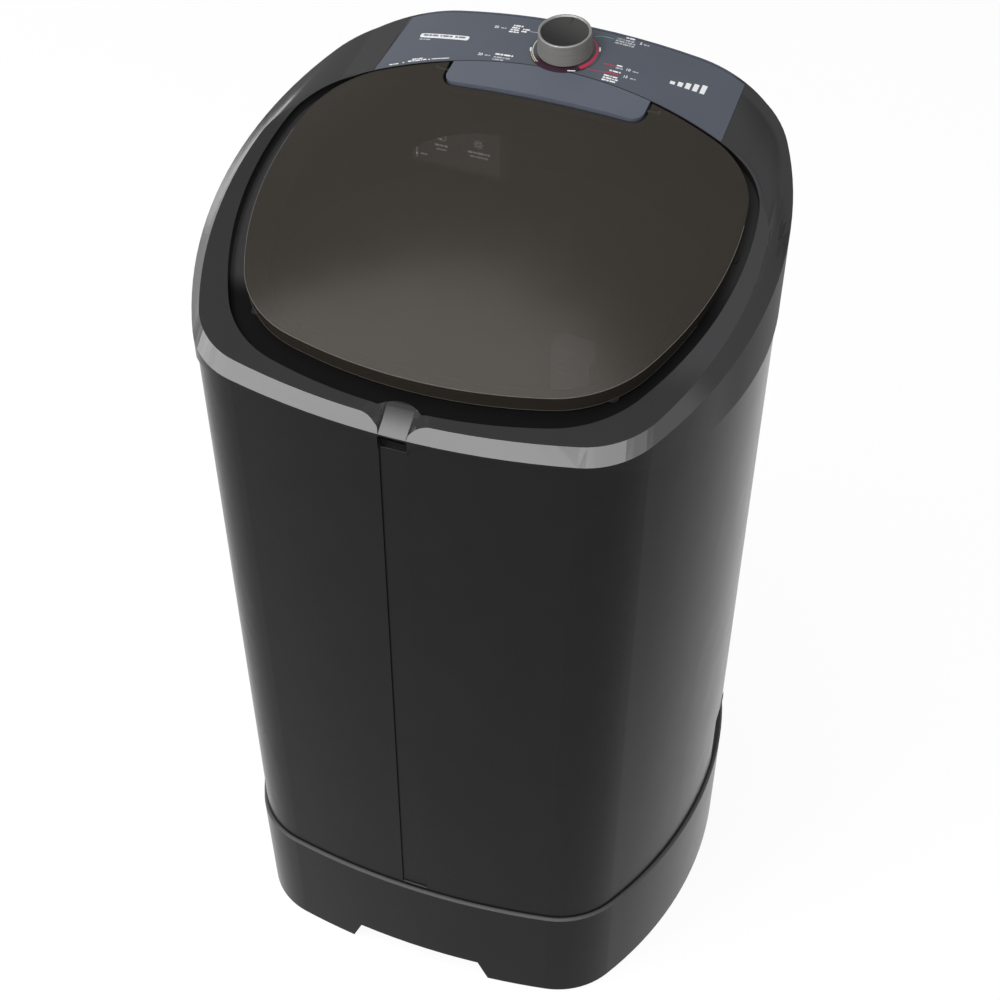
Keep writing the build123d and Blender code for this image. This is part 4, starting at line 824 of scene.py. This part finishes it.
class WASHER_OT_drive(bpy.types.Operator):
    """Finishes the motor, its mounts, belt, pulleys, shaft, bearings, capacitor and wiring."""

    bl_idname = "washer.drive"
    bl_label = "Drive"

    def execute(self, context):
        dress(["drive_pulley", "motor_pulley", "bearing_housing"], cast("cast_aluminium", METAL_GREY))
        dress(["lower_bush", "upper_bush"], plated("sintered_bronze", (0.45, 0.3, 0.14), 0.4))
        dress(["drive_shaft"], plated("shaft_steel", METAL_GREY, 0.22, DRAWN))
        dress(["drive_belt"], rubbery("belt_rubber", RUBBER_BLACK, (0.2, 0.2, 1)))
        dress(["motor_housing"], lacquered("motor_paint", (0.06, 0.06, 0.065), 0.4, 1.45))
        dress(["motor_rotor"], laminated("rotor_plates", SHEET_GREY))
        dress(["motor_grommets"], rubbery("grommet_rubber", (0.03, 0.03, 0.03)))
        dress(["motor_bracket", "capacitor_clip"], plated("pressed_steel", SHEET_GREY, 0.32))
        dress(["capacitor"], plated("drawn_aluminium", METAL_GREY, 0.3, DRAWN))
        dress(["wiring_harness"], sleeved("woven_sleeve", (0.05, 0.05, 0.05)))
        return {"FINISHED"}


class WASHER_OT_fasteners(bpy.types.Operator):
    """Finishes the screws, bolts and the pulley's nut."""

    bl_idname = "washer.fasteners"
    bl_label = "Screws and bolts"

    def execute(self, context):
        screws = ["base_screws", "cover_screws", "tub_screws", "rear_cover_screws"]
        bolts = ["tub_bolts", "motor_bolts", "pulley_nut"]
        dress(screws + bolts, plated("zinc_plate", (0.5, 0.5, 0.51), 0.32))
        return {"FINISHED"}


class WASHER_OT_panel_print(bpy.types.Operator):
    """Prints the minute numbers, lead lines and small generic marks on the control panel."""

    bl_idname = "washer.panel_print"
    bl_label = "Panel print"

    def execute(self, context):
        colours = context.scene.washer.colours
        sizes = context.scene.washer.sizes
        word = sizes.word / MM
        digit = sizes.digit / MM
        white = Print("panel_marks_white", on_panel, sizes.ink)
        grey = Print("panel_marks_grey", on_panel, sizes.ink)
        white.bar(-162, -4.8, 56, 7.0)
        dark = Print("bar_words_dark", on_panel, sizes.ink)
        for u, length, first in ((-158.5, 17, 0), (-139, 14, 3), (-122, 13, 1)):
            dark.words(u, -4.3, length, 2.6, first=first, lift=0.2)
        dark.piece(inked("bar_word_ink", shade(colours.panel, 2.2)), "cabinet", "control_panel")
        border = Print("panel_end_line", on_panel, sizes.ink)
        border.ribbon([(-190.2, -57), (-187.4, -6), (-185.6, 25)], 0.9)
        border.piece(inked("border_ink", (0.004, 0.004, 0.004)), "cabinet", "control_panel")
        grey.words(-160.5, -11.4, 13, 1.8)
        self.load_mark(white)
        self.water_level_row(white, word)
        left = (("35", -86.4, 18), ("20", -86.4, -29.6))
        right = (("5", 69, 35), ("10", 68.6, -9.6), ("15", 69.4, -20.8))
        for minutes, u, v in left + right:
            white.digits(minutes, u, v, digit)
            grey.words(u + (4.2 if len(minutes) == 1 else 7.6), v + 1.2, 6.6, word * 0.8)
        self.left_blocks(white, grey, word)
        self.right_blocks(white, grey, word)
        white.bar(3.5, 46.8, 6, 1.6)
        white.bar(-6.6, 46.4, 1.4, 1.4)
        white.piece(inked("white_ink", colours.white_ink), "cabinet", "control_panel")
        grey.piece(inked("grey_ink", colours.grey_ink), "cabinet", "control_panel")
        return {"FINISHED"}

    def load_mark(self, white):
        """Five rising bars that stand for a full load."""
        for k in range(5):
            height = 4.5 + 2.2 * k
            u = 119 + 8 * k
            white.ribbon([(u, -10), (u, -10 + height / 2), (u, -10 + height)], 5.2)

    def water_level_row(self, white, word):
        """Dots, words and a line that follow the panel's front edge at the left."""
        slope = math.radians(16)
        white.words(-176.5, -57.6, 10, word * 0.8, slope)
        white.bar(-162.8, -52.8, 1.7, 1.7)
        white.words(-157.5, -50.6, 20, word * 0.9, slope)
        white.words(-154.5, -46.8, 12, word * 0.8, slope, first=2)
        white.bar(-136.2, -44.8, 1.7, 1.7)
        white.bar(-133, -43.8, 19, 1.1, slope=math.radians(12))

    def left_blocks(self, white, grey, word):
        """Blocks of small words at the dial's left."""
        for k in range(4):
            white.words(-68.2 + 0.5 * k, 14.8 + 3.6 * k, 11, word, first=k)
        for k in range(2):
            white.words(-55.4 + 0.6 * k, 17.6 + 3.6 * k, 8, word, first=k + 2)
        grey.ribbon([(-46.5, 19.4), (-41, 19.2), (-36.6, 19.6)], LINE_WIDTH)
        white.words(-68.4, -24.4, 21.5, word * 1.15)
        grey.words(-68.4, -29.4, 20, word, first=1)
        grey.words(-68.4, -33.2, 14, word, first=3)

    def right_blocks(self, white, grey, word):
        """Three blocks of small words at the dial's right."""
        white.words(53, 40.2, 11.5, word, first=1)
        for k in range(3):
            grey.words(44.2, 28.6 + 3.6 * k, 21, word, first=k)
        white.words(58, -5.4, 8.4, word, first=2)
        grey.words(58, -9.2, 8.6, word)
        white.words(53.5, -15.4, 12.5, word, first=1)
        for k in range(3):
            white.words(50.4, -31.4 + 3.6 * k, 16.2, word, first=k)


class WASHER_OT_dial_arcs(bpy.types.Operator):
    """Prints the coloured arcs, tabs and lead lines around the dial."""

    bl_idname = "washer.dial_arcs"
    bl_label = "Dial arcs"

    def execute(self, context):
        colours = context.scene.washer.colours
        sizes = context.scene.washer.sizes
        ring = sizes.ring / MM
        word = sizes.word / MM
        crimson = Print("dial_arc_crimson", on_panel, sizes.ink)
        crimson.arc(ring - 0.6, 50, -44, (0.9, 4.4), RING_LIFT)
        crimson.ribbon([(25.8, -21.2), (41, -21.4), (52, -19.6)], 0.6)
        crimson.words(44.6, -7.4, 13, word * 0.7)
        crimson.words(50.6, -19.4, 15.6, word * 0.8)
        crimson.piece(inked("crimson_ink", colours.crimson), "cabinet", "dial_ring")
        cream = Print("dial_arc_cream", on_panel, sizes.ink)
        cream.arc(ring, 158, 232, 1.0, RING_LIFT)
        for k in range(6):
            cream.arc(ring + 1.7, 200 + 5.2 * k, 203 + 5.2 * k, 1.0, RING_LIFT)
        cream.piece(inked("cream_ink", colours.cream), "cabinet", "dial_ring")
        teal = Print("lead_line_teal", on_panel, sizes.ink)
        teal.ribbon([(22, 30.4), (26.9, 33.2), (34, 33.8), (41.5, 33.4)], LINE_WIDTH)
        teal.words(44.2, 36, 8.4, word, first=1)
        teal.piece(inked("teal_ink", colours.teal), "cabinet", "control_panel")
        tabs = Print("dial_tabs_white", on_panel, sizes.ink)
        for reach, start, end in ((2.1, 190, 199), (2.0, 158, 162), (2.0, 14, 24)):
            tabs.arc(ring + reach, start, end, 1.7, RING_LIFT)
        tabs.bar(13.4, -31.6, 8.4, 1.5, RING_LIFT, math.radians(16))
        tabs.piece(inked("tab_ink", colours.white_ink), "cabinet", "dial_ring")
        return {"FINISHED"}


class WASHER_OT_label_print(bpy.types.Operator):
    """Prints the level ticks and two plain icons on the label in the tub."""

    bl_idname = "washer.label_print"
    bl_label = "Label print"

    def execute(self, context):
        colours = context.scene.washer.colours
        sizes = context.scene.washer.sizes
        marks = Print("label_marks", on_label, sizes.ink)
        marks.ribbon([(5, 3), (5, 25), (5, 44)], 0.9)
        for height in (8, 25, 43):
            marks.bar(3.6, height, 2.8, 2.2)
            marks.words(9.5, height + 0.6, 9, 2)
        for u, v, radius in ((31.5, 35, 3.6), (35.5, 34, 3.6), (76, 35, 2.2)):
            self.circle(marks, u, v, radius)
        for k in range(8):
            turn = math.radians(45 * k)
            marks.bar(76 + 3.2 * math.cos(turn), 35 + 3.2 * math.sin(turn), 2.4, 1.2, slope=turn)
        lines = ((26, 24, 15, 2.6, 0), (28, 19, 11, 1.8, 0), (64, 24, 25, 2.6, 0), (66, 19, 21, 1.8, 2))
        for u, v, length, height, first in lines:
            marks.words(u, v, length, height, first=first)
        # Painted light: the label's marks glow
        marks.piece(inked("label_ink", colours.white_ink, 0.85), "cabinet", "level_label")
        return {"FINISHED"}

    def circle(self, marks, u, v, radius):
        """An open ring on the label."""
        turns = [math.radians(15 * k) for k in range(24)]
        line = [(u + radius * math.cos(t), v + radius * math.sin(t)) for t in turns]
        marks.ribbon(line, 0.8)


class WASHER_OT_knob_pointer(bpy.types.Operator):
    """Adds the dark pointer inlaid in the dial's rim."""

    bl_idname = "washer.knob_pointer"
    bl_label = "Dial pointer"

    def execute(self, context):
        sizes = context.scene.washer.sizes
        top = (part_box("timer_knob")[1] - DIAL_CENTRE).dot(DIAL_UP) / MM
        pointer = Print("knob_pointer", on_panel, sizes.ink)
        pointer.ribbon([(0, 19.6), (0, 21.6), (0, 23.2)], [0.6, 2.2, 3.0], top - 0.55)
        pointer.piece(inked("pointer_black", (0.006, 0.006, 0.006)), "knob", "timer_knob")
        return {"FINISHED"}


class WASHER_OT_stage(bpy.types.Operator):
    """Makes the floor, lamps, world and camera."""

    bl_idname = "washer.stage"
    bl_label = "Stage"

    def execute(self, context):
        settings = context.scene.washer.stage
        self.floor(settings)
        self.world(context, settings)
        front = settings.front
        softboxes = (
            ("overhead_softbox", (-0.2, -0.05, 2.7), (-0.2, -0.05, 0), settings.overhead, 2.6, 1.2),
            ("key_softbox", (-0.75, -1.15, 2.75), (0, -0.25, 0.85), settings.key, 1.0, 0.7),
            ("front_softbox", (-0.27, -2.82, 1.5), (0.73, -0.57, 0.85), front, 6.2, 1.1),
            ("left_softbox", (-3.2, -0.75, 1.15), (-0.25, -0.2, 0.85), front * 0.2, 1.6, 0.9),
            ("back_left_softbox", (-2.6, 1.9, 0.75), (-0.25, 0.1, 0.85), front * 0.03, 1.2, 0.6),
            ("right_softbox", (1.4, -2.35, 1.84), (0.18, -0.25, 0.87), front * 0.22, 1.9, 1.0),
            ("corner_softbox", (2.35, -1.33, 1.55), (0.22, -0.21, 0.87), front * 0.036, 1.2, 0.8),
        )
        for softbox in softboxes:
            self.lamp(*softbox)
        self.camera(context, settings)
        context.scene.view_settings.view_transform = "Standard"
        return {"FINISHED"}

    def floor(self, settings):
        """A pale floor, gently uneven, that stays white to the camera but keeps the shadow."""
        finish = Finish("floor_paper", IOR=1.3, Roughness=0.9)
        finish.colour(finish.mix(finish.noise(0.4, 3), (0.8, 0.8, 0.8), (0.84, 0.84, 0.84)))
        camera, gloss, clear = finish.rays()
        seen = finish.maximum(finish.maximum(camera, gloss), clear)
        finish.cover_with(seen * FLOOR_GLOW_SHARE, {"Strength": FLOOR_GLOW}, "ShaderNodeEmission")
        shape = bmesh.new()
        bmesh.ops.create_grid(shape, x_segments=24, y_segments=24, size=settings.floor / 2)
        placed("floor", shape, finish.material)

    def world(self, context, settings):
        """White to the camera and through clear parts, dimmer overhead to gloss, softer as light."""
        world = bpy.data.worlds.new("studio")
        world.use_nodes = True
        studio = Nodes(world.node_tree)
        place = studio.node("ShaderNodeTexCoord", output="Generated")
        rise = studio.node("ShaderNodeSeparateXYZ", {}, {0: place}, "Z")
        fade = {"Value": rise, "From Min": 0.25, "From Max": 0.75, "To Min": 1.0, "To Max": settings.ceiling}
        ceiling = studio.node("ShaderNodeMapRange", {"interpolation_type": "SMOOTHSTEP"}, fade)
        camera, gloss, clear = studio.rays()
        strength = settings.ambient
        for ray, level in ((gloss, ceiling), (clear, 1.0), (camera, 1.0)):
            strength = studio.node("ShaderNodeMix", {}, {0: ray, 2: strength, 3: level})
        light = studio.node("ShaderNodeBackground", {}, {"Color": (1, 1, 1), "Strength": strength})
        studio.add("ShaderNodeOutputWorld", {}, {"Surface": light})
        context.scene.world = world

    def lamp(self, name, place, target, power, width, depth):
        """A soft rectangular lamp that the camera doesn't see."""
        light = bpy.data.lights.new(name, "AREA")
        light.shape = "RECTANGLE"
        light.size = width
        light.size_y = depth
        light.energy = power
        lamp = bpy.data.objects.new(name, light)
        lamp.location = place
        lamp.rotation_euler = (Vector(target) - Vector(place)).to_track_quat("-Z", "Y").to_euler()
        lamp.visible_camera = False
        bpy.context.scene.collection.objects.link(lamp)

    def camera(self, context, settings):
        """The camera at the photograph's angle, high and a little to the right."""
        data = bpy.data.cameras.new("camera")
        data.lens = settings.lens
        data.sensor_width = SENSOR_WIDTH
        data.clip_end = 100
        camera = bpy.data.objects.new("camera", data)
        turns = ((VIEW_ROUND, "Z"), (math.pi / 2 - VIEW_DOWN, "X"), (VIEW_ROLL, "Z"))
        round_turn, down_turn, roll_turn = (Matrix.Rotation(angle, 4, axis) for angle, axis in turns)
        camera.matrix_world = Matrix.Translation(VIEW_PLACE) @ round_turn @ down_turn @ roll_turn
        bpy.context.scene.collection.objects.link(camera)
        context.scene.camera = camera


class WASHER_PT_workshop(bpy.types.Panel):
    """Lists the steps and settings of the washing machine."""

    bl_idname = "WASHER_PT_workshop"
    bl_label = "Washing machine"
    bl_space_type = "VIEW_3D"
    bl_region_type = "UI"
    bl_category = "Washer"

    def draw(self, context):
        settings = context.scene.washer
        for group in (settings.colours, settings.sizes, settings.stage):
            box = self.layout.box()
            for name in group.bl_rna.properties.keys():
                if name not in {"rna_type", "name"}:
                    box.prop(group, name)
        for operator in OPERATORS:
            self.layout.operator(operator.bl_idname)


OPERATORS = (
    WASHER_OT_cabinet,
    WASHER_OT_cover,
    WASHER_OT_lid,
    WASHER_OT_dial,
    WASHER_OT_wash_parts,
    WASHER_OT_drive,
    WASHER_OT_fasteners,
    WASHER_OT_panel_print,
    WASHER_OT_dial_arcs,
    WASHER_OT_label_print,
    WASHER_OT_knob_pointer,
    WASHER_OT_stage,
)
CLASSES = (WasherColours, WasherSizes, WasherStage, WasherSettings, *OPERATORS, WASHER_PT_workshop)


def register():
    """Adds the classes and the settings to Blender."""
    for cls in CLASSES:
        bpy.utils.register_class(cls)
    bpy.types.Scene.washer = PointerProperty(type=WasherSettings)


def unregister():
    """Takes the classes and the settings out again."""
    del bpy.types.Scene.washer
    for cls in reversed(CLASSES):
        bpy.utils.unregister_class(cls)


def main():
    """Runs every step in order."""
    register()
    for operator in OPERATORS:
        group, step = operator.bl_idname.split(".")
        getattr(getattr(bpy.ops, group), step)()


if __name__ == "__main__":
    main()
